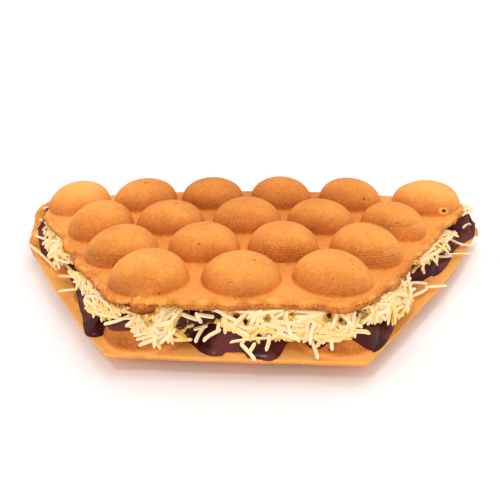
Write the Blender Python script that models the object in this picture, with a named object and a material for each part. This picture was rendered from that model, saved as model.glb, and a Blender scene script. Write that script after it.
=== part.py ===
"""Bubble waffle: one sheet of bubbles folded in half over chocolate sauce and grated cheese.

Metres, +Z up. The fold runs along X at the back (+Y) and the sheet is open at the front (-Y).
All pieces are first laid out in the sheet's own frame, where the back row of bubbles lies at
y = 0 and the lower leaf's top face at z = 0. The last step moves the whole so that it stands
on the floor with the middle of its box over the origin.
"""
import math
import random
from dataclasses import dataclass

import bmesh
import bpy
import numpy as np
from mathutils import Matrix

# The sheet: thickness of the flat web between bubbles, and the two leaves' heights
WEB = 0.003
UPPER_LEVEL = 0.020
LOWER_LEVEL = 0.0
# The rim is divided into stretches of about this length, and waves in and out: each wave's
# length over two pi, and its depth
RIM_STEP = 0.0095
RIM_WAVES = ((0.0102, 0.00063), (0.00442, 0.00035), (0.0034, 0.00028))
RIM_CHAMFER = 0.0009
# Straight stretches in which the rim turns round a back and a front corner
BACK_CORNER_STEPS = 3
FRONT_CORNER_STEPS = 4
# Straight part of each leaf ends here, and the fold bends on from inside it
FOLD_START = 0.009
FOLD_OVERLAP = 0.003
FOLD_STEPS = 9
# The fold is thinner than the web by this much on each side, so that no faces coincide
FOLD_THINNER = 0.0001
# How the fold narrows from the lower leaf to the upper one at its ends: below 1 it stays wide
# for long, and above 1 it narrows at once
FOLD_TAPER_LEFT = 0.6
FOLD_TAPER_RIGHT = 1.6
# Sag of the upper leaf towards its two ends, for each metre of distance squared
SAG = 0.5

# A bubble's widest ring lies this far under the web's top face
BUBBLE_SUNK = 0.0004
# Bubbles differ by up to this share in width and in height
WIDTH_SPREAD = 0.03
HEIGHT_SPREAD = 0.05
# The back right bubble of the upper leaf is swollen
SWOLLEN = 1.09
# Share of the lower bubbles' depth that is left when they have settled flat: it is less than
# the depth of a bubble's last ring of points, so that the whole ring lies in the flat foot
SETTLED = 0.86

# Filling: height of the sauce's level, and the space between touching pieces
SAUCE_LEVEL = 0.0062
SAUCE_CHAMFER = 0.0026
SAUCE_STEPS = 2
GAP = 0.0003
# Grated cheese: shreds' width, thickness and range of length
SHRED_WIDTH = 0.0021
SHRED_THICKNESS = 0.0017
SHRED_SHORTEST = 0.010
SHRED_LONGEST = 0.019

# Edges blunter than this are shaded smooth
SMOOTH_ANGLE = math.radians(40)
# Neighbouring faces that meet at less than this are merged
FLAT_ANGLE = math.radians(0.5)
# A leaf's skew grows from the fold to its full value over this distance
SKEW_DEPTH = 0.100
# Flat faces are cut across at this spacing, this far to each side, to follow the sag
CUT_SPACING = 0.026
CUT_REACH = 0.130
# Middle of the finished whole in the sheet's frame
MIDDLE_X = 0.0040
MIDDLE_Y = -0.0485


@dataclass(frozen=True)
class Leaf:
    """One half of the folded sheet, seen from above with the fold at the back."""

    level: float        # height of the web's top face
    rows: tuple         # from the fold forwards: y of the row, then x of its bubbles
    radius: float       # of a bubble where it leaves the web
    above: float        # height of a bubble over its widest ring
    below: float        # depth of a bubble under it
    hidden_above: float     # the same two where the filling hides the bubble
    hidden_below: float
    back_rim: float     # from the back corner bubbles' middles to the sides
    side_rim: float     # from the side bubbles' middles to the sides
    front_rim: float    # from the front row's middles to the front edge
    skew: float         # y gained for each metre of x at the front, none at the fold
    left: float         # x of the two back corners, where the fold begins
    right: float
    right_turn: float   # share of the turn round the back right bubble that the rim makes
    swollen: float      # size of the back right bubble against the others
    sides: int          # of a bubble's mesh, and its rings from pole to pole
    rings: int
    seed: int


UPPER = Leaf(
    level=UPPER_LEVEL,
    rows=((0.0, -0.0815, -0.0490, -0.0160, 0.0175, 0.0515, 0.0905),
          (-0.0305, -0.0650, -0.0335, 0.0010, 0.0340, 0.0670),
          (-0.0605, -0.0505, -0.0165, 0.0160, 0.0500),
          (-0.0880, -0.0355, -0.0010, 0.0330)),
    radius=0.0150, above=0.0108, below=0.0074, hidden_above=0.0108, hidden_below=0.0015,
    back_rim=0.0158, side_rim=0.0182, front_rim=0.0208, skew=0.0, left=-0.097, right=0.1055,
    right_turn=1.0, swollen=SWOLLEN, sides=14, rings=8, seed=11)

LOWER = Leaf(
    level=LOWER_LEVEL,
    rows=((-0.0030, -0.0915, -0.0553, -0.0191, 0.0171, 0.0533, 0.0895),
          (-0.0336, -0.0734, -0.0372, -0.0010, 0.0352, 0.0714),
          (-0.0642, -0.0553, -0.0191, 0.0171, 0.0533),
          (-0.0948, -0.0372, -0.0010, 0.0352)),
    radius=0.0155, above=0.0105, below=0.0100, hidden_above=0.0002, hidden_below=0.0100,
    back_rim=0.0205, side_rim=0.0198, front_rim=0.0172, skew=-0.035, left=-0.112, right=0.120,
    right_turn=0.0, swollen=1.0, sides=12, rings=6, seed=23)

# Depth of the lower bubbles' flat feet under the lower leaf's top face
FEET = LOWER.below * SETTLED + BUBBLE_SUNK

# Edge of the sauce on the lower leaf, seen from above, from the left end of the fold round
# the front to its right end: it runs out in tongues between and over the front bubbles
SAUCE_EDGE = (
    (-0.106, 0.007), (-0.101, -0.004), (-0.097, -0.017), (-0.091, -0.026), (-0.079, -0.044),
    (-0.069, -0.061), (-0.064, -0.078), (-0.060, -0.092), (-0.056, -0.098), (-0.048, -0.103),
    (-0.040, -0.103), (-0.031, -0.099), (-0.022, -0.100), (-0.017, -0.105), (-0.012, -0.109),
    (-0.006, -0.108), (0.001, -0.108), (0.006, -0.111), (0.011, -0.110), (0.014, -0.104),
    (0.019, -0.102), (0.024, -0.106), (0.029, -0.106), (0.034, -0.103), (0.040, -0.107),
    (0.047, -0.107), (0.053, -0.102), (0.057, -0.092), (0.060, -0.079), (0.065, -0.068),
    (0.070, -0.059), (0.077, -0.050), (0.087, -0.041), (0.094, -0.028), (0.098, -0.017),
    (0.106, -0.008), (0.112, 0.000), (0.115, 0.008))
# Thick coats that the sauce leaves on some of the lower bubbles: middle x, y and half sizes
COATS = (
    (-0.0430, -0.0905, 0.0140, 0.0145), (-0.0010, -0.0925, 0.0155, 0.0160),
    (0.0420, -0.0950, 0.0145, 0.0140), (0.0760, -0.0380, 0.0145, 0.0130),
    (0.0930, -0.0080, 0.0160, 0.0140), (-0.0880, -0.0050, 0.0140, 0.0140))
COAT_LEVEL = 0.0010
COAT_HEIGHT = 0.0107
COAT_SIDES = 12
COAT_RINGS = 6

# Line along which the grated cheese shows: x, y, and the shreds up to the next point
HEAP_LINE = (
    (-0.1050, 0.0080, 5), (-0.0930, -0.0150, 10), (-0.0780, -0.0430, 2),
    (-0.0680, -0.0640, 5), (-0.0560, -0.0900, 7), (-0.0430, -0.1040, 13),
    (-0.0100, -0.1070, 22), (0.0400, -0.1070, 6), (0.0550, -0.0900, 8),
    (0.0720, -0.0600, 4), (0.0950, -0.0230, 4), (0.1050, -0.0050, 8), (0.1090, 0.0080, 0))
# The heap's core stays this far inside that line, in stretches of about this length
CORE_INSET = 0.0030
CORE_SPREAD = 0.0010
CORE_STEP = 0.009
CORE_BOTTOM = 0.0045
# A shred's middle moves along the line by up to this share of the space to the next one, and
# out from it by up to this share of its length, less the end that stays in the core
SHRED_SPREAD = 0.3
SHRED_OUT = 0.3
SHRED_HELD = 0.002
# Shreds lie this high over the lower leaf, and turn and tip by up to these angles
SHRED_LOWEST = 0.0060
SHRED_HIGHEST = 0.0155
SHRED_TURN = 1.35
SHRED_RISE = -0.15
SHRED_DROOP = 0.50
SHRED_ROLL = 1.5
SHRED_SEED = 5


def clear_scene():
    """Remove every object that the file opened with."""
    for item in list(bpy.data.objects):
        bpy.data.objects.remove(item, do_unlink=True)


def make_material(name, colour, roughness, metallic=0.0):
    """Return a Principled material with one colour."""
    material = bpy.data.materials.new(name)
    material.use_nodes = True
    shader = material.node_tree.nodes["Principled BSDF"]
    shader.inputs["Base Color"].default_value = (*colour, 1.0)
    shader.inputs["Roughness"].default_value = roughness
    shader.inputs["Metallic"].default_value = metallic
    return material


def add_object(name, mesh, collection):
    """Put a mesh in the scene as an object at the origin."""
    item = bpy.data.objects.new(name, mesh)
    collection.objects.link(item)
    return item


def prism(name, outline, low, high, collection, chamfer=0.0, grow=0.0):
    """Extrude a closed outline of (x, y) points from one height to another.

    The top and bottom edges are chamfered inside the outline, and grow widens it all round.
    """
    curve = bpy.data.curves.new(name, "CURVE")
    curve.dimensions = "2D"
    curve.fill_mode = "BOTH"
    curve.extrude = (high - low) / 2 - chamfer
    curve.bevel_depth = chamfer
    curve.bevel_resolution = 0
    curve.offset = grow - chamfer
    spline = curve.splines.new("POLY")
    spline.points.add(len(outline) - 1)
    for point, (x, y) in zip(spline.points, outline):
        point.co = (x, y, 0.0, 1.0)
    spline.use_cyclic_u = True
    guide = add_object(name + "_curve", curve, collection)
    guide.location.z = (low + high) / 2
    return solid_of_curve(guide, name, collection)


def solid_of_curve(guide, name, collection):
    """Turn a filled curve object into one closed mesh with its caps welded on."""
    bpy.context.view_layer.update()
    evaluated = guide.evaluated_get(bpy.context.evaluated_depsgraph_get())
    mesh = bpy.data.meshes.new_from_object(evaluated)
    mesh.transform(guide.matrix_world)
    work = bmesh.new()
    work.from_mesh(mesh)
    bmesh.ops.remove_doubles(work, verts=work.verts, dist=1e-6)
    bmesh.ops.recalc_face_normals(work, faces=work.faces)
    work.to_mesh(mesh)
    work.free()
    bpy.data.objects.remove(guide)
    return add_object(name, mesh, collection)


def cut_across(item):
    """Divide an object's faces by planes across X, so that they can follow the sag."""
    work = bmesh.new()
    work.from_mesh(item.data)
    steps = int(CUT_REACH / CUT_SPACING)
    for step in range(-steps, steps + 1):
        bmesh.ops.bisect_plane(
            work, geom=work.verts[:] + work.edges[:] + work.faces[:], dist=1e-7,
            plane_co=(step * CUT_SPACING, 0.0, 0.0), plane_no=(1.0, 0.0, 0.0))
    work.to_mesh(item.data)
    work.free()
    return item


def ellipsoid(name, middle, half_sizes, collection, sides, rings, below, foot=None):
    """Add a UV sphere stretched to half sizes x, y and z, with its own depth below its middle.

    Where foot is given, the sphere is flat at that depth.
    """
    mesh = bpy.data.meshes.new(name)
    work = bmesh.new()
    bmesh.ops.create_uvsphere(work, u_segments=sides, v_segments=rings, radius=1.0)
    for vertex in work.verts:
        depth = half_sizes[2] if vertex.co.z > 0 else below
        vertex.co.x *= half_sizes[0]
        vertex.co.y *= half_sizes[1]
        vertex.co.z *= depth
        if foot is not None:
            vertex.co.z = max(vertex.co.z, -foot)
    bmesh.ops.translate(work, verts=work.verts, vec=middle)
    work.to_mesh(mesh)
    work.free()
    return add_object(name, mesh, collection)


def combine(target, pieces, operation):
    """Apply one Boolean of the target with all objects of a collection, then remove those."""
    boolean = target.modifiers.new("join", "BOOLEAN")
    boolean.operation = operation
    boolean.operand_type = "COLLECTION"
    boolean.collection = pieces
    boolean.solver = "MANIFOLD"
    bpy.context.view_layer.update()
    evaluated = target.evaluated_get(bpy.context.evaluated_depsgraph_get())
    mesh = bpy.data.meshes.new_from_object(evaluated)
    target.modifiers.clear()
    target.data = mesh
    for item in list(pieces.objects):
        bpy.data.objects.remove(item, do_unlink=True)
    bpy.data.collections.remove(pieces)
    return target


def new_collection(name):
    """Return a new collection that is part of the scene."""
    collection = bpy.data.collections.new(name)
    bpy.context.scene.collection.children.link(collection)
    return collection


def rim_outline(leaf, grow=0.0):
    """Return the leaf's outline: straight sides round the bubbles, with a wavy baked rim.

    The outline turns round the four corner bubbles. Its distance from them passes from the
    side rim to the front rim at each front corner, and the back is straight for the fold.
    """
    back_y, *back_x = leaf.rows[0]
    front_y, *front_x = leaf.rows[-1]
    left_normal = math.pi + math.atan2(front_x[0] - back_x[0], back_y - front_y)
    right_normal = -math.atan2(back_x[-1] - front_x[-1], back_y - front_y)
    front_normal = -math.pi / 2
    turns = (
        (back_x[0], back_y, math.pi, left_normal,
         leaf.back_rim, leaf.side_rim, BACK_CORNER_STEPS),
        (front_x[0], front_y, left_normal, 2 * math.pi + front_normal,
         leaf.side_rim, leaf.front_rim, FRONT_CORNER_STEPS),
        (front_x[-1], front_y, front_normal, right_normal,
         leaf.front_rim, leaf.side_rim, FRONT_CORNER_STEPS),
        (back_x[-1], back_y, right_normal, right_normal * (1 - leaf.right_turn),
         leaf.side_rim, leaf.back_rim, max(1, round(BACK_CORNER_STEPS * leaf.right_turn))))
    corners = [(leaf.left, FOLD_START)]
    for x, y, start, end, first, last, steps in turns:
        for step in range(steps + 1):
            share = step / steps
            angle = start + (end - start) * share
            reach = first + (last - first) * share
            corners.append((x + reach * math.cos(angle), y + reach * math.sin(angle)))
    corners.append((leaf.right, FOLD_START))
    return wavy([skewed(leaf, x, y) for x, y in corners], leaf.seed, grow)


def skewed(leaf, x, y):
    """Return a place on a leaf after the leaf has turned a little against the fold."""
    share = min(max((FOLD_START - y) / SKEW_DEPTH, 0.0), 1.0)
    return x, y + leaf.skew * x * share


def wavy(corners, seed, grow):
    """Divide an open outline into short stretches and move them in and out a little."""
    chance = random.Random(seed)
    phases = [chance.uniform(0, 2 * math.pi) for _ in RIM_WAVES]
    points = []
    travelled = 0.0
    for (x0, y0), (x1, y1) in zip(corners, corners[1:]):
        length = math.hypot(x1 - x0, y1 - y0)
        steps = max(1, round(length / RIM_STEP))
        normal = ((y0 - y1) / length, (x1 - x0) / length)
        for step in range(steps):
            share = step / steps
            along = travelled + length * share
            reach = grow - sum(depth * math.sin(along / size + phase)
                               for (size, depth), phase in zip(RIM_WAVES, phases))
            points.append((x0 + (x1 - x0) * share - normal[0] * reach,
                           y0 + (y1 - y0) * share - normal[1] * reach))
        travelled += length
    points.append(corners[-1])
    points[0] = (corners[0][0] - grow, corners[0][1])
    points[-1] = (corners[-1][0] + grow, corners[-1][1])
    return points


def fold_end(level, lower_x, upper_x, taper):
    """Return x of the fold's end at each height: the leaves' difference to a power of height."""
    share = np.clip((level - LOWER_LEVEL) / (UPPER_LEVEL - LOWER_LEVEL), 0.0, 1.0)
    return upper_x + (lower_x - upper_x) * (1 - share) ** taper


def add_fold(collection, grow=0.0):
    """Add the half turn of the sheet that joins the leaves, a C profile drawn out along X."""
    middle_z = (UPPER_LEVEL + LOWER_LEVEL - WEB) / 2
    radius = (UPPER_LEVEL - LOWER_LEVEL) / 2
    half_web = WEB / 2 - FOLD_THINNER + grow
    outline = []
    for reach, order in ((radius + half_web, 1), (radius - half_web, -1)):
        turns = [math.pi / 2 - math.pi * step / FOLD_STEPS for step in range(FOLD_STEPS + 1)]
        arc = [(FOLD_START + reach * math.cos(turn), reach * math.sin(turn)) for turn in turns]
        ends = [(FOLD_START - FOLD_OVERLAP, reach), (FOLD_START - FOLD_OVERLAP, -reach)]
        outline += ([ends[0]] + arc + [ends[1]])[::order]
    band = prism("fold", outline, -1.0, 1.0, collection)
    # The extruded profile lies in XY, so its axes are turned: x to y, y to z, z to x
    band.data.transform(Matrix(((0, 0, 1, 0), (1, 0, 0, 0), (0, 1, 0, 0), (0, 0, 0, 1))))
    points = read_points(band.data)
    points[:, 2] += middle_z
    left = fold_end(points[:, 2], LOWER.left - grow, UPPER.left - grow, FOLD_TAPER_LEFT)
    right = fold_end(points[:, 2], LOWER.right + grow, UPPER.right + grow, FOLD_TAPER_RIGHT)
    points[:, 0] = left + (right - left) * (points[:, 0] + 1.0) / 2
    write_points(band.data, points)
    return cut_across(band)


def read_points(mesh):
    """Return a mesh's points as an array of rows x, y, z."""
    flat = np.empty(len(mesh.vertices) * 3)
    mesh.vertices.foreach_get("co", flat)
    return flat.reshape(-1, 3)


def write_points(mesh, points):
    """Put an array of rows x, y, z back into a mesh."""
    mesh.vertices.foreach_set("co", points.ravel())
    mesh.update()


def add_bubbles(leaf, collection, grow=0.0):
    """Add a bubble at each place of the leaf's rows, uneven in size."""
    chance = random.Random(leaf.seed)
    last_row = len(leaf.rows) - 1
    for row_number, (y, *row) in enumerate(leaf.rows):
        for place, x in enumerate(row):
            width = 1 + chance.uniform(-WIDTH_SPREAD, WIDTH_SPREAD)
            height = 1 + chance.uniform(-HEIGHT_SPREAD, HEIGHT_SPREAD)
            if row_number == 0 and place == len(row) - 1:
                width, height = leaf.swollen, 1.0
            shows = place in (0, len(row) - 1) or row_number == last_row
            above = leaf.above if shows else leaf.hidden_above
            below = leaf.below if shows else leaf.hidden_below
            if leaf is UPPER:
                above *= height
            radius = leaf.radius * width + grow
            foot = below * SETTLED + grow if leaf is LOWER else None
            middle = (*skewed(leaf, x, y), leaf.level - BUBBLE_SUNK)
            ellipsoid("bubble", middle, (radius, radius, above + grow), collection,
                      leaf.sides, leaf.rings, below + grow, foot)


def sheet_pieces(name, grow=0.0):
    """Return a collection of all pieces of the folded sheet, made larger by grow all over."""
    pieces = new_collection(name)
    for leaf in (UPPER, LOWER):
        plate = prism("plate", rim_outline(leaf, grow), leaf.level - WEB - grow,
                      leaf.level + grow, pieces, RIM_CHAMFER)
        cut_across(plate)
        add_bubbles(leaf, pieces, grow)
    add_fold(pieces, grow)
    return pieces


def make_waffle(collection):
    """Make the folded sheet as one solid."""
    pieces = sheet_pieces("sheet")
    target = pieces.objects["plate"]
    pieces.objects.unlink(target)
    collection.objects.link(target)
    target.name = "waffle"
    return combine(target, pieces, "UNION")


def sag(item):
    """Let the upper leaf and what lies under it droop towards the two ends."""
    points = read_points(item.data)
    share = np.clip((points[:, 2] - LOWER_LEVEL) / (UPPER_LEVEL - LOWER_LEVEL), 0.0, 1.0)
    points[:, 2] -= SAG * points[:, 0] ** 2 * share
    write_points(item.data, points)


def dissolve_flats(item):
    """Merge neighbouring faces that lie in one plane, which the Booleans left in slivers."""
    work = bmesh.new()
    work.from_mesh(item.data)
    bmesh.ops.dissolve_limit(work, angle_limit=FLAT_ANGLE, use_dissolve_boundaries=False,
                             verts=work.verts, edges=work.edges)
    work.to_mesh(item.data)
    work.free()


def smooth_line(points, steps):
    """Return the points of a Catmull-Rom curve through an open line of (x, y) points."""
    line = np.array([points[0], *points, points[-1]])
    shares = np.arange(steps)[:, None] / steps
    curve = []
    for before, start, end, after in zip(line, line[1:], line[2:], line[3:]):
        curve.append(0.5 * (2 * start + (end - before) * shares
                            + (2 * before - 5 * start + 4 * end - after) * shares ** 2
                            + (3 * start - before - 3 * end + after) * shares ** 3))
    return [*map(tuple, np.concatenate(curve)), tuple(points[-1])]


def sauce_pieces(collection, grow=0.0):
    """Add the sauce's level and its coats, larger by grow all over, and return the level."""
    level = prism("sauce", smooth_line(SAUCE_EDGE, SAUCE_STEPS), LOWER_LEVEL - WEB / 2,
                  SAUCE_LEVEL + grow, collection, SAUCE_CHAMFER, grow)
    cut_across(level)
    for x, y, half_x, half_y in COATS:
        ellipsoid("coat", (x, y, COAT_LEVEL),
                  (half_x + grow, half_y + grow, COAT_HEIGHT + grow), collection,
                  COAT_SIDES, COAT_RINGS, COAT_LEVEL + WEB / 2)
    return level


def fill_gap(name, collection, add, remove):
    """Make one solid from the pieces that add makes, cut back by those that remove makes."""
    pieces = new_collection(name + "_pieces")
    target = add(pieces)
    pieces.objects.unlink(target)
    collection.objects.link(target)
    target.name = name
    combine(target, pieces, "UNION")
    for cutters in remove:
        combine(target, cutters, "DIFFERENCE")
    keep_largest(target)
    return target


def keep_largest(item):
    """Drop loose scraps: keep only the connected body with the most faces."""
    work = bmesh.new()
    work.from_mesh(item.data)
    work.verts.ensure_lookup_table()
    unseen = set(work.verts)
    bodies = []
    while unseen:
        front = [unseen.pop()]
        body = set(front)
        while front:
            for edge in front.pop().link_edges:
                for vertex in edge.verts:
                    if vertex in unseen:
                        unseen.discard(vertex)
                        body.add(vertex)
                        front.append(vertex)
        bodies.append(body)
    bodies.sort(key=len, reverse=True)
    scraps = [vertex for body in bodies[1:] for vertex in body]
    bmesh.ops.delete(work, geom=scraps, context="VERTS")
    work.to_mesh(item.data)
    work.free()


def make_sauce(collection):
    """Make the layer of chocolate sauce on the lower leaf."""
    return fill_gap("chocolate_sauce", collection, sauce_pieces,
                    [sheet_pieces("sheet_and_gap", GAP)])


def heap_places():
    """Yield x, y and the outward direction of each shred, spread evenly along its stretch."""
    chance = random.Random(SHRED_SEED)
    for (x0, y0, count), (x1, y1, _) in zip(HEAP_LINE, HEAP_LINE[1:]):
        outward = math.atan2(y1 - y0, x1 - x0) - math.pi / 2
        for number in range(count):
            share = (number + 0.5 + chance.uniform(-SHRED_SPREAD, SHRED_SPREAD)) / count
            yield x0 + (x1 - x0) * share, y0 + (y1 - y0) * share, outward


def core_outline():
    """Return the outline of the heap's core, a little inside the line where it shows."""
    chance = random.Random(SHRED_SEED)
    points = [(x, y) for x, y, _ in HEAP_LINE]
    outline = []
    for (x0, y0), (x1, y1) in zip(points, points[1:]):
        length = math.hypot(x1 - x0, y1 - y0)
        steps = max(1, round(length / CORE_STEP))
        inward = ((y0 - y1) / length, (x1 - x0) / length)
        for step in range(steps):
            share = (step + 0.5) / steps
            inset = CORE_INSET + chance.uniform(-CORE_SPREAD, CORE_SPREAD)
            outline.append((x0 + (x1 - x0) * share + inward[0] * inset,
                            y0 + (y1 - y0) * share + inward[1] * inset))
    return outline


def shred(collection, place, outward, chance):
    """Add one strip of cheese that starts in the core and sticks out of it at random."""
    length = chance.uniform(SHRED_SHORTEST, SHRED_LONGEST)
    turn = chance.uniform(-SHRED_TURN, SHRED_TURN)
    out = chance.uniform(-CORE_INSET, SHRED_OUT * length * math.cos(turn) - SHRED_HELD)
    middle = (place[0] + out * math.cos(outward), place[1] + out * math.sin(outward),
              chance.uniform(SHRED_LOWEST, SHRED_HIGHEST))
    mesh = bpy.data.meshes.new("shred")
    work = bmesh.new()
    bmesh.ops.create_cube(work, size=1.0)
    bmesh.ops.scale(work, verts=work.verts, vec=(length, SHRED_WIDTH, SHRED_THICKNESS))
    work.to_mesh(mesh)
    work.free()
    mesh.transform(Matrix.Translation(middle) @ Matrix.Rotation(outward + turn, 4, "Z")
                   @ Matrix.Rotation(chance.uniform(SHRED_RISE, SHRED_DROOP), 4, "Y")
                   @ Matrix.Rotation(chance.uniform(-SHRED_ROLL, SHRED_ROLL), 4, "X"))
    add_object("shred", mesh, collection)


def cheese_pieces(collection):
    """Add the heap's core and the shreds that show round it, and return the core."""
    core = prism("cheese", core_outline(), CORE_BOTTOM, UPPER_LEVEL - WEB / 2, collection)
    cut_across(core)
    chance = random.Random(SHRED_SEED)
    for x, y, outward in heap_places():
        shred(collection, (x, y), outward, chance)
    return core


def make_cheese(collection):
    """Make the heap of grated cheese between the sauce and the upper leaf."""
    sauce = new_collection("sauce_and_gap")
    sauce_pieces(sauce, GAP)
    return fill_gap("grated_cheese", collection, cheese_pieces,
                    [sheet_pieces("sheet_and_gap", GAP), sauce])


def settle(item):
    """Move an object's mesh so that the whole stands on the floor over the origin."""
    points = read_points(item.data)
    points += (-MIDDLE_X, -MIDDLE_Y, FEET)
    write_points(item.data, points)


def main():
    """Build the waffle, its sauce and its cheese."""
    clear_scene()
    collection = new_collection("bubble_waffle")
    finishes = (
        (make_waffle, make_material("baked_waffle", (0.62, 0.30, 0.09), 0.6)),
        (make_sauce, make_material("dark_chocolate", (0.045, 0.018, 0.014), 0.18)),
        (make_cheese, make_material("pale_cheese", (0.86, 0.70, 0.36), 0.5)))
    for make, material in finishes:
        item = make(collection)
        sag(item)
        dissolve_flats(item)
        settle(item)
        item.data.materials.clear()
        item.data.materials.append(material)
        item.data.shade_smooth()
        item.data.set_sharp_from_angle(angle=SMOOTH_ANGLE)


main()
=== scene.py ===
"""Bubble waffle folded in half over chocolate sauce and grated cheese.

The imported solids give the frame, and each of them is replaced here by finer pieces: the folded
sheet with its bubbles and baked rim, the layer of sauce, and the heap of cheese shreds. All
shapes are worked out in metres in the sheet's own frame, where the back row of bubbles lies at
y = 0 and the lower leaf's top face at z = 0, and are then moved to their place in the frame.
"""
import logging
import math
import random
from dataclasses import dataclass, field
from enum import Enum

import bpy
import numpy as np
from bpy.types import ID, Material, Node, NodeSocket, NodeTree, Object
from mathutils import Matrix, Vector


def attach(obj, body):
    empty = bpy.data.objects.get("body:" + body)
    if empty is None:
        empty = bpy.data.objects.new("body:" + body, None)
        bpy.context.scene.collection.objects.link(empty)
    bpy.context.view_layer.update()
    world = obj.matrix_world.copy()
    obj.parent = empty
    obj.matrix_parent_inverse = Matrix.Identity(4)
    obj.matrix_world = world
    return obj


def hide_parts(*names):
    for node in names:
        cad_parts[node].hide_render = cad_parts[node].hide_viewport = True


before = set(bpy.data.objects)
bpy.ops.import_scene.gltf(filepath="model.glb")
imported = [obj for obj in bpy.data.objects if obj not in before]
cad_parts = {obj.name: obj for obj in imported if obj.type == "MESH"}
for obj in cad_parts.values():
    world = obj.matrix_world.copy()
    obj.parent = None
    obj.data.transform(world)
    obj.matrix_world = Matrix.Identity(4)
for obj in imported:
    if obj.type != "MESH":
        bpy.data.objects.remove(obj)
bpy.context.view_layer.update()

Array = np.ndarray
logger = logging.getLogger("bubble_waffle")

# Place of the sheet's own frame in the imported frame
SHEET_ORIGIN = np.array((-0.004, 0.0485, 0.009))
# Thickness of the web, and the heights of the two leaves' top faces
WEB = 0.003
UPPER_LEVEL = 0.02
LOWER_LEVEL = 0.0
# The leaves are straight up to here, and the fold bends on from it
FOLD_START = 0.009
FOLD_RADIUS = (UPPER_LEVEL - LOWER_LEVEL) / 2
# The fold's ends pass to the upper leaf's from this share of its height, by this power
FOLD_TAPER_LEFT = (0.42, 1.7)
FOLD_TAPER_RIGHT = (0.05, 0.5)
# Droop of the upper leaf and what lies under it, for each metre of distance squared
SAG = 0.5
# A bubble's widest ring lies this far under the web's top face
BUBBLE_SUNK = 0.0004
# Depth over which a turned leaf leaves the line of the fold
SKEW_DEPTH = 0.1
# How much closer grid lines lie at the leaves' sides and at their front
SIDE_CROWDING = 0.2
FRONT_CROWDING = 0.25
# Lengths under this count as nothing
TINY = 1e-12
# Side of the square of random values that noise repeats
NOISE_TABLE = 64
# Noise textures stay mostly between these values
NOISE_RANGE = (0.3, 0.7)
BODY = "root"

Pair = tuple[float, float]
Triple = tuple[float, float, float]
Colour = Triple
Floats = tuple[float, ...]
# A round spot: middle x and y, reach, and height or change
Spot = tuple[float, float, float, float]
Spots = tuple[Spot, ...]
# A layer of noise: height, spacing and seed
Layer = tuple[float, float, int]
Layers = tuple[Layer, ...]
# What a node's input takes: a plain value or the socket that it is linked to
Value = float | NodeSocket


class Slot(Enum):
    """Material slots of the record."""

    WAFFLE = "baked_waffle"
    SAUCE = "dark_chocolate"
    CHEESE = "pale_cheese"


# Arrays and noise


def unit(vectors: Array) -> Array:
    """Return vectors, coordinates last, scaled to a length of one."""
    return vectors / np.maximum(np.linalg.norm(vectors, axis=-1, keepdims=True), TINY)


def lengths_along(line: Array) -> Array:
    """Return how far along a line each of its points lies."""
    return np.concatenate([[0.0], np.cumsum(np.linalg.norm(np.diff(line, axis=0), axis=1))])


def resample(line: Array, shares: Array) -> Array:
    """Return the points at given shares of a line's length, by linear interpolation."""
    along = lengths_along(line)
    return np.stack([np.interp(shares * along[-1], along, column) for column in line.T], axis=1)


def inward(line: Array) -> Array:
    """Return unit normals x, y on the left of a flat line, which is an outline's inside."""
    direction = unit(np.gradient(line, axis=0))
    return np.stack([-direction[:, 1], direction[:, 0]], axis=1)


def crowded(count: int, start: float = 0.0, end: float = 0.0) -> Array:
    """Return shares from 0 to 1 that lie closer together near the ends.

    A share is the even share blended with a quarter or half wave that starts or ends flat.

    Args:
        count: How many shares.
        start: How strongly they crowd at 0, from 0 to 1.
        end: How strongly they crowd at 1.

    Returns:
        Rising shares.
    """
    even = np.linspace(0.0, 1.0, count)
    near_start = 1 - np.cos(even * math.pi / 2)
    near_end = np.sin(even * math.pi / 2)
    both = (1 - np.cos(even * math.pi)) / 2
    shared = min(start, end)
    return (even * (1 - max(start, end)) + both * shared + near_start * max(start - end, 0.0)
            + near_end * max(end - start, 0.0))


def value_noise(x: Array, y: Array, size: float, seed: int) -> Array:
    """Return smooth noise: random values on a square lattice, blended by a smooth step.

    Args:
        x: First coordinate.
        y: Second coordinate.
        size: Spacing of the lattice.
        seed: Seed of the random values.

    Returns:
        Values from -1 to 1, of the coordinates' shape.
    """
    table = np.random.default_rng(seed).uniform(-1.0, 1.0, (NOISE_TABLE, NOISE_TABLE))
    column, row = np.floor(x / size).astype(int), np.floor(y / size).astype(int)
    across, down = x / size - column, y / size - row
    across, down = across * across * (3 - 2 * across), down * down * (3 - 2 * down)
    near, far = (table[line % NOISE_TABLE, column % NOISE_TABLE] * (1 - across)
                 + table[line % NOISE_TABLE, (column + 1) % NOISE_TABLE] * across
                 for line in (row, row + 1))
    return near * (1 - down) + far * down


def uneven(place: Array, *layers: Layer) -> Array:
    """Return the sum of layers of value noise at places, coordinates last."""
    return sum(height * value_noise(place[..., 0], place[..., 1], size, seed)
               for height, size, seed in layers)


def spots(place: Array, listed: Spots, power: int = 2) -> Array:
    """Return the sum of round spots at places, coordinates last.

    Each is its height times e to the minus power of the distance over its reach.
    """
    return sum(height * np.exp(-(np.hypot(place[..., 0] - x, place[..., 1] - y) / reach) ** power)
               for x, y, reach, height in listed)


def wander(along: Array, sizes: Floats, seed: int) -> Array:
    """Return noise along a line, the mean of value noise at several spacings."""
    waves = [value_noise(along, np.full_like(along, 0.5 * size), size, seed + place)
             for place, size in enumerate(sizes)]
    return sum(waves) / len(waves)


def smooth_step(low: float, high: float, value: Array) -> Array:
    """Return 0 below low, 1 above high, and a smooth rise between them."""
    share = np.clip((value - low) / (high - low), 0.0, 1.0)
    return share * share * (3 - 2 * share)


def soft_max(first: Array, second: Array, blend: float) -> Array:
    """Return the larger of two fields, rounded where they cross over about the blend length."""
    return (first + second + np.sqrt((first - second) ** 2 + blend ** 2)) / 2


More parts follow.
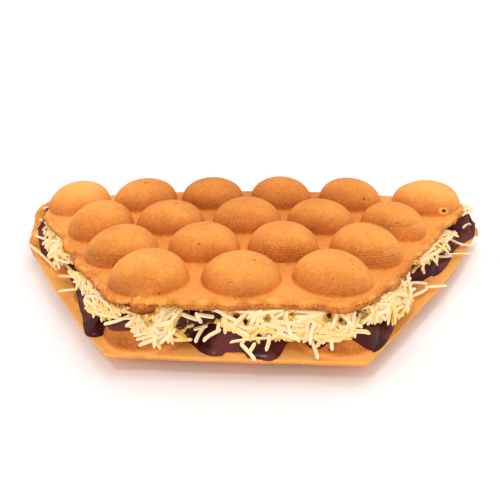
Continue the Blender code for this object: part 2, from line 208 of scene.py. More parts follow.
def fill_outline(line: Array, corners: tuple[int, int], u: Array, v: Array) -> Array:
    """Fill an outline with a grid of points, as a Coons patch.

    Each point is the blend of the left and right borders by u, plus the blend of the straight
    back and the front by v, less the blend of the four corners by both.

    Args:
        line: The outline, from the back's left end round the front to the back's right end.
        corners: Numbers of its two front corners.
        u: Shares from left to right.
        v: Shares from back to front.

    Returns:
        Points, with axes v, u and coordinate.
    """
    first, second = corners
    left, right = resample(line[:first + 1], v), resample(line[second:][::-1], v)
    back = line[0] + (line[-1] - line[0]) * u[:, None]
    front = resample(line[first:second + 1], u)
    across, down = u[None, :, None], v[:, None, None]
    sides = left[:, None] * (1 - across) + right[:, None] * across
    ends = back[None] * (1 - down) + front[None] * down
    blended = ((back[0] * (1 - across) + back[-1] * across) * (1 - down)
               + (front[0] * (1 - across) + front[-1] * across) * down)
    return sides + ends - blended


def grid_normals(grid: Array) -> Array:
    """Return unit normals of a grid of points, as the cross product of its two directions."""
    return unit(np.cross(np.gradient(grid, axis=0), np.gradient(grid, axis=1)))


def border(grid: Array) -> Array:
    """Return a grid's border as one loop: down the left, along the front, up the right, back."""
    return np.concatenate([grid[:, 0], grid[-1, 1:], grid[-2::-1, -1], grid[0, -2:0:-1]])


# Meshes


def add_object(name: str, data: ID) -> Object:
    """Return a new object of the scene that shows some data."""
    item = bpy.data.objects.new(name, data)
    bpy.context.scene.collection.objects.link(item)
    return item


def mesh_object(name: str, points: Array, faces: list[Array],
                attributes: dict[str, Array] | None = None) -> Object:
    """Make an object from arrays, with its faces turned outwards.

    The sign of the volume that the faces enclose tells whether they point inwards.

    Args:
        name: The object's name.
        points: One row x, y, z for each vertex.
        faces: Arrays of vertex numbers, one row for each face, all rows of one length.
        attributes: Values for each vertex, by name.

    Returns:
        The object, shaded smooth.
    """
    triangles = np.concatenate([part[:, (0, corner, corner + 1)] for part in faces
                                for corner in range(1, part.shape[1] - 1)])
    first, second, third = (points[triangles[:, corner]] for corner in range(3))
    if np.einsum("ij,ij->i", first, np.cross(second, third)).sum() < 0:
        faces = [part[:, ::-1] for part in faces]
    sizes = np.concatenate([np.full(len(part), part.shape[1]) for part in faces])
    mesh = bpy.data.meshes.new(name)
    mesh.vertices.add(len(points))
    mesh.vertices.foreach_set("co", points.astype(np.float32).ravel())
    mesh.loops.add(int(sizes.sum()))
    mesh.loops.foreach_set("vertex_index",
                           np.concatenate([part.ravel() for part in faces]).astype(np.int32))
    mesh.polygons.add(len(sizes))
    mesh.polygons.foreach_set("loop_start", (np.cumsum(sizes) - sizes).astype(np.int32))
    mesh.update(calc_edges=True)
    for key, values in (attributes or {}).items():
        layer = mesh.attributes.new(key, "FLOAT", "POINT")
        layer.data.foreach_set("value", values.astype(np.float32).ravel())
    mesh.shade_smooth()
    return add_object(name, mesh)


def grid_faces(rows: int, columns: int, first: int = 0) -> Array:
    """Return the quads of a grid whose vertices are numbered row by row from first."""
    corner = first + np.arange(rows - 1)[:, None] * columns + np.arange(columns - 1)[None]
    return np.stack([corner, corner + columns, corner + columns + 1, corner + 1],
                    axis=-1).reshape(-1, 4)


def tube_faces(rings: int, sides: int) -> list[Array]:
    """Return the faces of a closed tube.

    Its vertices are numbered ring by ring, with the poles at its start and its end after them.

    Args:
        rings: Number of rings.
        sides: Number of vertices in each.

    Returns:
        The quads between the rings, and the triangles round the poles.
    """
    place = np.arange(sides)
    after = (place + 1) % sides
    start = np.arange(rings - 1)[:, None] * sides
    quads = np.stack([start + place, start + after, start + sides + after, start + sides + place],
                     axis=-1).reshape(-1, 4)
    last, pole = (rings - 1) * sides, np.full(sides, rings * sides)
    caps = np.concatenate([np.stack([after, place, pole], axis=1),
                           np.stack([last + place, last + after, pole + 1], axis=1)])
    return [quads, caps]


@dataclass
class Slab:
    """A closed sheet: two grids of points over each other, joined round by a rounded rim."""

    upper: Array
    lower: Array
    bulge: float
    reaches: Floats = (0.7, 1.0, 0.7)
    rough: float = 0.0
    grain: float = 0.0
    seed: int = 0
    layer_sizes: Floats = (0.0052, 0.0023, 0.0011)

    @property
    def rings(self) -> int:
        """Return the number of the rim's rings."""
        return len(self.reaches)

    def rim(self) -> Array:
        """Return the rim's rings of points.

        Each ring point lies between the upper border and the lower one at the cosine of its
        turn, and its reach times the bulge outwards. A rough rim moves each ring outwards by
        its own wander along the border, which makes layers, and each point by a small draw.

        Returns:
            Points, with axes ring, place on the border and coordinate.
        """
        top, bottom = border(self.upper), border(self.lower)
        middle, half = (top + bottom) / 2, (top - bottom) / 2
        along = np.roll(middle, -1, axis=0) - np.roll(middle, 1, axis=0)
        out = unit(np.cross(along, half))
        turn = (math.pi * np.arange(1, self.rings + 1) / (self.rings + 1))[:, None, None]
        reach = np.array(self.reaches)[:, None, None]
        rings = middle + half * np.cos(turn) + out * reach * self.bulge
        travelled = np.cumsum(np.linalg.norm(along, axis=1)) / 2
        layers = np.stack([wander(travelled, self.layer_sizes, self.seed + 10 * ring)
                           for ring in range(self.rings)])[..., None]
        draw = np.random.default_rng(self.seed).normal(0.0, self.grain, (*rings.shape[:2], 1))
        return rings + out * (layers * self.rough + draw)

    def across_rim(self, upper: Array, lower: Array) -> Array:
        """Return values for the rim's rings, which pass from the upper grid's to the lower's."""
        share = (np.arange(1, self.rings + 1) / (self.rings + 1))[:, None]
        return border(upper) * (1 - share) + border(lower) * share

    def build(self, name: str, tones: tuple[Array, Array, Array] | None = None,
              attribute: str = "bake_and_shade") -> Object:
        """Make the closed mesh.

        Args:
            name: The object's name.
            tones: Values for the upper grid, the lower grid and the rim's rings.
            attribute: Name of the attribute that holds them.

        Returns:
            The object.
        """
        rows, columns = self.upper.shape[:2]
        count = rows * columns
        rings = self.rim()
        numbers = np.arange(count).reshape(rows, columns)
        loops = np.concatenate([border(numbers)[None],
                                2 * count + np.arange(rings[..., 0].size).reshape(rings.shape[:2]),
                                border(numbers)[None] + count])
        start, end = loops[:-1], loops[1:]
        strip = np.stack([np.roll(start, -1, axis=1), start, end, np.roll(end, -1, axis=1)],
                         axis=-1).reshape(-1, 4)
        faces = [grid_faces(rows, columns), grid_faces(rows, columns, count)[:, ::-1], strip]
        points = np.concatenate([self.upper.reshape(-1, 3), self.lower.reshape(-1, 3),
                                 rings.reshape(-1, 3)])
        attributes = None
        if tones is not None:
            attributes = {attribute: np.concatenate([tone.ravel() for tone in tones])}
        return mesh_object(name, points, faces, attributes)


def settle(points: Array) -> Array:
    """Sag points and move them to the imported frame.

    The sag is its constant times x squared times the share of the upper leaf's height.

    Args:
        points: Points in the sheet's own frame, coordinates last.

    Returns:
        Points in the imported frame.
    """
    share = np.clip(points[..., 2:] / UPPER_LEVEL, 0.0, 1.0)
    drop = SAG * points[..., :1] ** 2 * share
    return points + SHEET_ORIGIN - np.concatenate([np.zeros_like(points[..., :2]), drop], axis=-1)


# Node groups and finishes


class Graph:
    """Builds shader nodes: most methods add a node and return its output socket."""

    def __init__(self, tree: NodeTree) -> None:
        """Keep the tree that nodes are added to."""
        self.tree = tree

    def feed(self, node: Node, inputs: dict) -> None:
        """Set or link a node's inputs.

        Args:
            node: The node.
            inputs: Values or sockets by input name or number.
        """
        for key, value in inputs.items():
            if isinstance(value, NodeSocket):
                self.tree.links.new(value, node.inputs[key])
            else:
                node.inputs[key].default_value = value

    def node(self, kind: str, inputs: dict | None = None, **settings: object) -> Node:
        """Add a node.

        Args:
            kind: The node's type name.
            inputs: Values or sockets by input name or number.
            **settings: Properties of the node.

        Returns:
            The node.
        """
        node = self.tree.nodes.new(kind)
        for key, value in settings.items():
            setattr(node, key, value)
        self.feed(node, inputs or {})
        return node

    def math(self, operation: str, first: Value, second: Value = 0.0,
             third: Value = 0.0) -> NodeSocket:
        """Return the result of one arithmetic step on values or sockets."""
        node = self.node("ShaderNodeMath", {0: first, 1: second, 2: third}, operation=operation)
        return node.outputs[0]

    def times(self, first: Value, second: Value) -> NodeSocket:
        """Return the product of values or sockets."""
        return self.math("MULTIPLY", first, second)

    def mapped(self, value: Value, low: float, high: float, to_low: float = 0.0,
               to_high: float = 1.0) -> NodeSocket:
        """Return a value mapped from one range to another by a smooth step."""
        inputs = {0: value, 1: low, 2: high, 3: to_low, 4: to_high}
        return self.node("ShaderNodeMapRange", inputs, interpolation_type="SMOOTHSTEP").outputs[0]

    def noise(self, vector: NodeSocket, scale: float, detail: float = 2.0) -> NodeSocket:
        """Return noise from 0 to 1 with lumps of about one over the scale, in metres."""
        inputs = {"Vector": vector, "Scale": scale, "Detail": detail}
        return self.node("ShaderNodeTexNoise", inputs).outputs["Fac"]

    def cells(self, inputs: dict, **settings: object) -> tuple[NodeSocket, NodeSocket]:
        """Return the distance to the nearest random point and a random value for each point."""
        found = self.node("ShaderNodeTexVoronoi", inputs, feature="F1", **settings).outputs
        draw = self.node("ShaderNodeSeparateColor", {0: found["Color"]}).outputs[0]
        return found["Distance"], draw

    def ramp(self, value: Value, stops: tuple[tuple[float, Colour], ...]) -> NodeSocket:
        """Return the colour of a value between stops of position and colour."""
        node = self.node("ShaderNodeValToRGB", {0: value})
        elements = node.color_ramp.elements
        while len(elements) < len(stops):
            elements.new(1.0)
        for element, (position, colour) in zip(elements, stops):
            element.position = position
            element.color = (*colour, 1.0)
        return node.outputs["Color"]

    def group(self, name: str, inputs: dict) -> NodeSocket:
        """Return the output of a node group."""
        return self.node("ShaderNodeGroup", inputs, node_tree=bpy.data.node_groups[name]).outputs[0]


class Paint(Graph):
    """Builds a material: its nodes and its Principled shader."""

    def __init__(self, name: str) -> None:
        """Make the material."""
        self.material = bpy.data.materials.new(name)
        self.material.use_nodes = True
        super().__init__(self.material.node_tree)
        self.shader = self.tree.nodes["Principled BSDF"]

    def place(self) -> NodeSocket:
        """Return places in the piece's own frame."""
        return self.node("ShaderNodeTexCoord").outputs["Object"]

    def attribute(self, name: str) -> NodeSocket:
        """Return the value that the mesh holds for each vertex under a name."""
        return self.node("ShaderNodeAttribute", attribute_name=name).outputs["Fac"]

    def bump(self, height: Value, strength: float, distance: float) -> NodeSocket:
        """Return normals that a height from 0 to 1 bumps over a distance in metres."""
        inputs = {"Height": height, "Strength": strength, "Distance": distance}
        return self.node("ShaderNodeBump", inputs).outputs["Normal"]

    def finish(self, inputs: dict) -> Material:
        """Feed the shader's inputs and return the material."""
        self.feed(self.shader, inputs)
        return self.material


def new_group(name: str, inputs: dict[str, str], outputs: dict[str, str]) -> Graph:
    """Start a shader node group.

    Args:
        name: The group's name.
        inputs: Socket types by input name.
        outputs: Socket types by output name.

    Returns:
        A graph on the group, with its input and output nodes added.
    """
    tree = bpy.data.node_groups.new(name, "ShaderNodeTree")
    for direction, sockets in (("INPUT", inputs), ("OUTPUT", outputs)):
        for label, kind in sockets.items():
            tree.interface.new_socket(label, in_out=direction, socket_type=kind)
    graph = Graph(tree)
    graph.node("NodeGroupInput", name="In")
    graph.node("NodeGroupOutput", name="Out")
    return graph


def pore_group() -> NodeTree:
    """Make the group that scatters small pores over a baked surface.

    A pore is where the distance to the nearest of random points is under a radius that itself
    varies from cell to cell. Only the given share of the cells have one.

    Returns:
        The group, with inputs Vector, Scale and Share and the output Mask.
    """
    graph = new_group("pores", {"Vector": "NodeSocketVector", "Scale": "NodeSocketFloat",
                                "Share": "NodeSocketFloat"}, {"Mask": "NodeSocketFloat"})
    given = graph.tree.nodes["In"].outputs
    distance, draw = graph.cells({"Vector": given["Vector"], "Scale": given["Scale"]})
    chosen = graph.math("LESS_THAN", draw, given["Share"])
    least, more = 0.09, 0.11
    radius = graph.math("MULTIPLY_ADD", graph.math("DIVIDE", draw, given["Share"]), more, least)
    near = graph.mapped(graph.math("DIVIDE", distance, radius), 0.5, 1.2, 1.0, 0.0)
    graph.feed(graph.tree.nodes["Out"], {"Mask": graph.times(near, chosen)})
    return graph.tree


def pit_row_group() -> NodeTree:
    """Make the group that draws level rows of small pits on the front of a bubble.

    The turn round the bubble and the height over the web are divided into cells and rows. A
    groove runs along each row, and each chosen cell has a pit in it.

    Returns:
        The group, with inputs Vector, Middle, Low, High, Facing and the output Mask.
    """
    kinds = {"Vector": "NodeSocketVector", "Middle": "NodeSocketVector",
             "Low": "NodeSocketFloat", "High": "NodeSocketFloat", "Facing": "NodeSocketFloat"}
    graph = new_group("pit_rows", kinds, {"Mask": "NodeSocketFloat"})
    given = graph.tree.nodes["In"].outputs
    rows_each_metre, cells_each_radian, chosen, farthest = 950.0, 13.0, 0.6, 0.0165
    away = graph.node("ShaderNodeVectorMath", {0: given["Vector"], 1: given["Middle"]},
                      operation="SUBTRACT").outputs[0]
    x, y, z = graph.node("ShaderNodeSeparateXYZ", {0: away}).outputs
    angle = graph.math("ARCTAN2", x, graph.times(y, -1.0))
    distance = graph.math("SQRT", graph.math("ADD", graph.times(x, x), graph.times(y, y)))
    wobble = graph.times(graph.noise(given["Vector"], 90.0), 0.0007)
    height = graph.math("ADD", z, wobble)
    row = graph.times(height, rows_each_metre)
    place = graph.node("ShaderNodeCombineXYZ",
                       {0: graph.times(angle, cells_each_radian), 1: row}).outputs[0]
    near, draw = graph.cells({"Vector": place, "Scale": 1.0, "Randomness": 0.4},
                             voronoi_dimensions="2D")
    dot = graph.times(graph.mapped(near, 0.1, 0.3, 1.0, 0.0), graph.math("LESS_THAN", draw, chosen))
    off = graph.math("ABSOLUTE", graph.math("SUBTRACT", graph.math("FRACT", row), 0.5))
    mask = graph.math("MAXIMUM", dot, graph.mapped(off, 0.0, 0.28, 0.38, 0.0))
    turned = graph.math("ABSOLUTE", graph.math("SUBTRACT", angle, given["Facing"]))
    for limit in (graph.mapped(turned, 0.6, 1.3, 0.75, 0.0),
                  graph.math("GREATER_THAN", height, given["Low"]),
                  graph.math("LESS_THAN", height, given["High"]),
                  graph.math("LESS_THAN", distance, farthest)):
        mask = graph.times(mask, limit)
    graph.feed(graph.tree.nodes["Out"], {"Mask": mask})
    return graph.tree


@dataclass(frozen=True)
class BakedCrust:
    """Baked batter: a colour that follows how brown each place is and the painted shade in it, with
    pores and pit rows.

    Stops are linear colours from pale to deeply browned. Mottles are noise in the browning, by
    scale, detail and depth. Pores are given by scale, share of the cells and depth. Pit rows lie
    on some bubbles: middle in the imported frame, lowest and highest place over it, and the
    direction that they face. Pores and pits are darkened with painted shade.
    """

    stops: tuple[tuple[float, Colour], ...] = (
        (0.0, (0.95, 0.49, 0.13)), (0.2, (0.93, 0.395, 0.088)), (0.35, (0.83, 0.302, 0.06)),
        (0.5, (0.66, 0.205, 0.034)), (0.7, (0.42, 0.113, 0.017)), (0.86, (0.27, 0.07, 0.011)),
        (1.0, (0.14, 0.036, 0.007)))
    mottles: tuple[Triple, ...] = ((75.0, 3.0, 0.035), (900.0, 4.0, 0.05))
    pores: tuple[Triple, ...] = ((520.0, 0.5, 0.6), (230.0, 0.05, 1.0))
    pit_rows: tuple[tuple[Triple, float, float, float], ...] = (
        ((-0.0545, -0.012, 0.0277), 0.0016, 0.005, -0.1),
        ((0.012, -0.012, 0.0289), 0.0012, 0.0068, 0.1),
        ((0.046, -0.012, 0.0278), 0.001, 0.0066, 0.25),
        ((0.063, 0.018, 0.0268), 0.0052, 0.0068, 0.1))
    hole_shade: float = 0.3
    grain: Pair = (1500.0, 0.25)
    relief: Pair = (0.7, 0.00045)
    roughness: float = 0.62
    specular: float = 0.15

    def build(self, name: str) -> Material:
        """Make the material.

        The attribute of browning and painted shade plus the mottles picks the colour between the
        stops. Pores and pits darken it with painted shade and are cut in by a bump.

        Args:
            name: The material's name.

        Returns:
            The material.
        """
        paint = Paint(name)
        place, tone, holes = paint.place(), paint.attribute("bake_and_shade"), 0.0
        for scale, detail, depth in self.mottles:
            mottle = paint.mapped(paint.noise(place, scale, detail), *NOISE_RANGE, -depth, depth)
            tone = paint.math("ADD", tone, mottle)
        for scale, share, depth in self.pores:
            pores = paint.group("pores", {"Vector": place, "Scale": scale, "Share": share})
            holes = paint.math("MAXIMUM", holes, paint.times(pores, depth))
        for middle, low, high, facing in self.pit_rows:
            rows = paint.group("pit_rows", {"Vector": place, "Middle": middle, "Low": low,
                                            "High": high, "Facing": facing})
            holes = paint.math("MAXIMUM", holes, rows)
        # Painted shade in the pores and pits.
        tone = paint.math("MULTIPLY_ADD", holes, self.hole_shade, tone)
        grain = paint.times(paint.noise(place, self.grain[0]), self.grain[1])
        return paint.finish({
            "Base Color": paint.ramp(tone, self.stops), "Roughness": self.roughness,
            "Specular IOR Level": self.specular,
            "Normal": paint.bump(paint.math("SUBTRACT", grain, holes), *self.relief)})


@dataclass(frozen=True)
class GlossySauce:
    """Thick chocolate sauce: dark, with lighter redder places that are partly painted sheen, and
    glossy with a little unevenness.

    Patches are given by their noise's scale and the range over which the colours mix, and the
    sheen by the range of facing over which the coat fades.
    """

    dark: Colour = (0.058, 0.008, 0.008)
    # The lighter, redder colour of the patches is partly painted sheen.
    light: Colour = (0.135, 0.026, 0.024)
    patches: Triple = (70.0, 0.42, 0.62)
    roughness: float = 0.26
    rough_shares: Pair = (0.8, 1.35)
    coat: float = 0.6
    coat_fade: Pair = (0.45, 0.85)
    coat_roughness: float = 0.2
    coat_index: float = 1.35
    relief: Pair = (0.25, 0.0006)

    def build(self, name: str) -> Material:
        """Make the material: noise mixes the two colours, the lighter one partly painted sheen, and
        varies the gloss.

        The gloss is a coat that fades where the surface is seen at a flat angle, as a
        drying skin does.

        Args:
            name: The material's name.

        Returns:
            The material.
        """
        paint = Paint(name)
        place = paint.place()
        scale, low, high = self.patches
        colour = paint.node("ShaderNodeMix", {
            0: paint.mapped(paint.noise(place, scale, 1.0), low, high),
            6: (*self.dark, 1.0), 7: (*self.light, 1.0)}, data_type="RGBA").outputs[2]
        rough = paint.mapped(paint.noise(place, 160.0), *NOISE_RANGE,
                             *(self.roughness * share for share in self.rough_shares))
        facing = paint.node("ShaderNodeLayerWeight", {"Blend": 0.5}).outputs["Facing"]
        return paint.finish({
            "Base Color": colour, "Roughness": rough, "Specular IOR Level": 0.0,
            "Coat Weight": paint.mapped(facing, *self.coat_fade, self.coat, 0.0),
            "Coat Roughness": self.coat_roughness, "Coat IOR": self.coat_index,
            "Normal": paint.bump(paint.noise(place, 240.0, 1.0), *self.relief)})


@dataclass(frozen=True)
class GratedCheese:
    """Cheese shreds: pale at their cut edges, creamy on their faces and yellower inside, where the
    deeper yellow is partly painted shade.
    """

    # The inside stop, a deep yellow, serves yellower shreds and painted shade deep in the heap.
    stops: tuple[tuple[float, Colour], ...] = (
        (0.0, (1.0, 0.8, 0.49)), (0.35, (1.0, 0.72, 0.345)), (0.85, (1.0, 0.61, 0.085)),
        (0.94, (0.06, 0.011, 0.01)))
    streaks: Pair = (600.0, 0.06)
    roughness: float = 0.45
    specular: float = 0.35
    relief: Pair = (0.3, 0.0002)

    def build(self, name: str) -> Material:
        """Make the material.

        The shade attribute plus streaks picks a colour between the stops: cut edge, face,
        inside, and sauce smeared on it. Deeper places of the heap go towards the inside yellow,
        as painted shade.

        Args:
            name: The material's name.

        Returns:
            The material.
        """
        paint = Paint(name)
        place = paint.place()
        scale, depth = self.streaks
        streak = paint.mapped(paint.noise(place, scale), *NOISE_RANGE, -depth, depth)
        shade = paint.math("ADD", paint.attribute("shade"), streak)
        return paint.finish({
            "Base Color": paint.ramp(shade, self.stops), "Roughness": self.roughness,
            "Specular IOR Level": self.specular,
            "Normal": paint.bump(paint.noise(place, 1300.0), *self.relief)})


@dataclass(frozen=True)
class PlainPaint:
    """An even matt colour for the floor."""

    colour: Colour = (0.96, 0.96, 0.96)

    def build(self, name: str) -> Material:
        """Make the material: one colour, fully matt."""
        return Paint(name).finish({"Base Color": (*self.colour, 1.0), "Roughness": 1.0,
                                   "Specular IOR Level": 0.0})


def dress(item: Object, material: Material, slot: Slot, *nodes: str) -> Object:
    """Give a piece its material and body, and hide the nodes that it stands for.

    Args:
        item: The piece.
        material: Its material.
        slot: Not used.
        *nodes: Nodes that it replaces.

    Returns:
        The piece.
    """
    item.data.materials.append(material)
    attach(item, BODY)
    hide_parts(*nodes)
    logger.info("%s: %d faces", item.name, len(item.data.polygons))
    return item


class Piece:
    """One piece of the dressed part, with its slot and the node that it stands for."""

    slot = Slot.WAFFLE
    node = "waffle"

    def shape(self) -> Object:
        """Return the piece's mesh object."""
        raise NotImplementedError

    def build(self, material: Material) -> Object:
        """Return the piece, dressed in a material."""
        return dress(self.shape(), material, self.slot, self.node)


# The folded sheet


@dataclass(frozen=True)
class Bubble:
    """One bubble of the sheet, seen along the sheet's normal."""

    x: float
    y: float
    radius: float
    height: float
    reach: float
    power: float = 2.0
    flat: float | None = None
    fillet: float = 0.00032
    curve_steps: int = 180
    steps: int = 260

    def profile(self) -> tuple[Array, Array, Array]:
        """Return the bubble's profile from its top to where its share of the web ends.

        The profile is a quarter of a superellipse, flat where the bubble has settled, and then
        the flat web. It is rounded at the foot by a Gaussian blur along its length.

        Returns:
            Shares of the profile's length, distances from the axis and heights.
        """
        turn = np.linspace(0.0, math.pi / 2, self.curve_steps)
        out = np.append(self.radius * np.sin(turn) ** (2 / self.power), self.reach)
        up = np.append(self.height * np.cos(turn) ** (2 / self.power), 0.0)
        if self.flat is not None:
            up = np.minimum(up, self.flat)
        line = resample(np.stack([out, up], axis=1), np.linspace(0.0, 1.0, self.steps))
        step = np.linalg.norm(line[1] - line[0])
        half = int(3 * self.fillet / step) + 1
        weights = np.exp(-0.5 * (np.arange(-half, half + 1) * step / self.fillet) ** 2)
        before = line[half:0:-1] * (-1.0, 1.0)
        after = line[-1] + np.arange(1, half + 1)[:, None] * (step, 0.0)
        padded = np.concatenate([before, line, after])
        smooth = np.stack([np.convolve(column, weights / weights.sum(), "valid")
                           for column in padded.T], axis=1)
        smooth[-1] = line[-1]
        along = lengths_along(smooth)
        return along / along[-1], smooth[:, 0], smooth[:, 1]


def raise_bubbles(plan: Array, bubbles: list[Bubble]) -> tuple[Array, Array]:
    """Draw a flat grid of points up over bubbles.

    A point within a bubble's reach keeps its direction from the bubble's middle and goes to the
    same share of the profile's length, so that points lie evenly from the top to the foot.

    Args:
        plan: Points x, y, with axes row, column and coordinate.
        bubbles: The bubbles, whose reaches don't overlap.

    Returns:
        The moved points x, y and their heights over the web.
    """
    place, rise = plan.copy(), np.zeros(plan.shape[:2])
    for bubble in bubbles:
        middle = np.array((bubble.x, bubble.y))
        offset = plan - middle
        distance = np.linalg.norm(offset, axis=-1)
        inside = distance < bubble.reach
        share = distance[inside] / bubble.reach
        shares, out, up = bubble.profile()
        stretch = np.interp(share, shares, out) / np.maximum(distance[inside], 1e-9)
        place[inside] = middle + offset[inside] * stretch[:, None]
        rise[inside] = np.interp(share, shares, up)
    return place, rise


@dataclass(frozen=True, kw_only=True)
class LeafPlan:
    """Sizes of one half of the folded sheet, seen from above with the fold at the back.

    Each row of bubbles has its y and then the x of each. Rim waves are given by their length
    over a whole turn in radians and their depth, and notches are bites out of the rim.
    """

    rows: tuple[Floats, ...]
    radius: float
    above: float
    left: float
    right: float
    seed: int
    ragged: float
    skew: float = 0.0
    swollen: float = 1.0
    notches: Spots = ()
    bite_wander: float = 0.25
    width_spread: float = 0.03
    height_spread: float = 0.05
    turn_steps: int = 14
    spacing: float = 0.0006
    rim_waves: tuple[Pair, ...] = ((0.0102, 0.00063), (0.00442, 0.00035), (0.0034, 0.00028))
    wave_share: float = 1.0
    calm_ends: float = 0.012

    def skewed(self, x: float, y: float) -> Pair:
        """Return a place on the leaf after the leaf has turned a little against the fold."""
        share = min(max((FOLD_START - y) / SKEW_DEPTH, 0.0), 1.0)
        return x, y + self.skew * x * share

    def places(self) -> list[tuple[float, float, float, float, bool]]:
        """Return x, y, width and height factor of each bubble, and whether its inside shows."""
        chance = random.Random(self.seed)
        found = []
        for number, (y, *row) in enumerate(self.rows):
            for place, x in enumerate(row):
                width = 1 + chance.uniform(-self.width_spread, self.width_spread)
                height = 1 + chance.uniform(-self.height_spread, self.height_spread)
                if number == 0 and place == len(row) - 1:
                    width, height = self.swollen, 1.0
                shows = place in (0, len(row) - 1) or number == len(self.rows) - 1
                found.append((*self.skewed(x, y), width, height, shows))
        return found

    def corners(self) -> tuple[Array, tuple[int, int]]:
        """Return the plain outline's points and the numbers of its two front corners."""
        raise NotImplementedError

    def outline(self, inset: float, bitten: float = 0.0) -> tuple[Array, tuple[int, int]]:
        """Return the leaf's outline from the left end of the fold round the front to the right.

        Slow waves, fine wander and notches move it in and out.

        Args:
            inset: How far inside the true outline it runs.
            bitten: Share of the notches' depth, from 0 to 1.

        Returns:
            The outline's points, and the numbers of its two front corners among them.
        """
        corners, fronts = self.corners()
        along = lengths_along(corners)
        count = int(along[-1] / self.spacing)
        line = resample(corners, np.linspace(0.0, 1.0, count))
        travelled = np.linspace(0.0, along[-1], count)
        chance = random.Random(self.seed)
        wave = sum(depth * np.sin(travelled / size + chance.uniform(0, 2 * math.pi))
                   for size, depth in self.rim_waves) * self.wave_share
        fine = wander(travelled, (0.0045, 0.0021, 0.0012), self.seed)
        fine *= self.ragged * (1 + 0.8 * smooth_step(-0.02, -0.05, line[:, 0]))
        bites = spots(line, self.notches, 4)
        bites = bites * (bitten + self.bite_wander
                         * wander(travelled, (0.0017, 0.0009), self.seed + 7))
        ends = smooth_step(0.0, self.calm_ends, np.minimum(travelled, along[-1] - travelled))
        moved = line + inward(line) * (inset + (wave + fine) * ends + bites)[:, None]
        return moved, tuple(np.searchsorted(travelled, along[list(fronts)]))

    def grid(self, inset: float, u: Array, v: Array, bitten: float = 0.0) -> Array:
        """Fill the leaf with a grid of points x, y, from the fold to the front edge.

        Args:
            inset: How far inside the true outline its border runs.
            u: Shares from left to right.
            v: Shares from back to front.
            bitten: Share of the notches' depth.

        Returns:
            Points, with axes v, u and coordinate.
        """
        return fill_outline(*self.outline(inset, bitten), u, v)


@dataclass(frozen=True, kw_only=True)
class BakedPlan(LeafPlan):
    """A leaf with the rim that it was baked with, which turns round its corner bubbles."""

    back_rim: float
    side_rim: float
    front_rim: float
    left_rim: float

    def corners(self) -> tuple[Array, tuple[int, int]]:
        """Return the plain outline.

        The distance from a corner bubble's middle passes from one rim width to the next.

        Returns:
            The outline's points and the numbers of its two front corners among them.
        """
        back_y, *back_x = self.rows[0]
        front_y, *front_x = self.rows[-1]
        left_normal = math.pi + math.atan2(front_x[0] - back_x[0], back_y - front_y)
        right_normal = -math.atan2(back_x[-1] - front_x[-1], back_y - front_y)
        front_normal = -math.pi / 2
        turns = (
            (back_x[0], back_y, math.pi, left_normal, self.left_rim, self.side_rim),
            (front_x[0], front_y, left_normal, 2 * math.pi + front_normal,
             self.side_rim, self.front_rim),
            (front_x[-1], front_y, front_normal, right_normal, self.front_rim, self.side_rim),
            (back_x[-1], back_y, right_normal, 0.0, self.side_rim, self.back_rim))
        share = np.linspace(0.0, 1.0, self.turn_steps + 1)
        arcs = []
        for x, y, start, end, first, last in turns:
            angle = start + (end - start) * share
            reach = first + (last - first) * share
            arcs.append(np.stack([x + reach * np.cos(angle), y + reach * np.sin(angle)], axis=1))
        half = self.turn_steps // 2
        return (np.concatenate([[(self.left, FOLD_START)], *arcs, [(self.right, FOLD_START)]]),
                (1 + len(share) + half, 1 + 2 * len(share) + half))


@dataclass(frozen=True, kw_only=True)
class CutPlan(LeafPlan):
    """A leaf with straight cut sides.

    Each corner has its x, y and how far before and behind it the turn starts and ends. The
    front corners are given by their places in the list.
    """

    cut: tuple[Triple, ...]
    fronts: tuple[int, int]

    def corners(self) -> tuple[Array, tuple[int, int]]:
        """Return the plain outline, whose corners are parabolas.

        Returns:
            The outline's points and the numbers of its two front corners among them.
        """
        ends = (np.array((self.left, FOLD_START)), np.array((self.right, FOLD_START)))
        points = [ends[0], *(np.array(corner[:2]) for corner in self.cut), ends[1]]
        share = np.linspace(0.0, 1.0, self.turn_steps + 1)[:, None]
        pieces, middles = [ends[0][None]], []
        for number, (*_, reach) in enumerate(self.cut, 1):
            before, here, after = points[number - 1:number + 2]
            start = here + (before - here) * reach / np.linalg.norm(before - here)
            end = here + (after - here) * reach / np.linalg.norm(after - here)
            middles.append(sum(len(piece) for piece in pieces) + self.turn_steps // 2)
            pieces.append(start * (1 - share) ** 2 + 2 * here * share * (1 - share)
                          + end * share ** 2)
        return (np.concatenate([*pieces, ends[1][None]]),
                tuple(middles[number] for number in self.fronts))


UPPER = BakedPlan(
    rows=((0.0, -0.0815, -0.049, -0.016, 0.0175, 0.0515, 0.089),
          (-0.0305, -0.065, -0.0335, 0.001, 0.034, 0.067),
          (-0.0605, -0.0505, -0.0165, 0.016, 0.05),
          (-0.088, -0.0355, -0.001, 0.033)),
    radius=0.015, above=0.0108, left=-0.0962, right=0.1055, seed=11, ragged=0.0008, swollen=1.09,
    back_rim=0.0165, side_rim=0.0182, front_rim=0.019, left_rim=0.0143,
    notches=((-0.031, -0.106, 0.0095, 0.0036), (-0.041, -0.1045, 0.003, 0.0012),
             (-0.0085, -0.106, 0.0022, 0.0016), (0.034, -0.106, 0.007, -0.0018),
             (0.0575, -0.0845, 0.006, -0.0036), (0.077, -0.052, 0.018, 0.0022),
             (0.0935, -0.027, 0.01, 0.0018), (-0.097, -0.004, 0.006, 0.0016)))

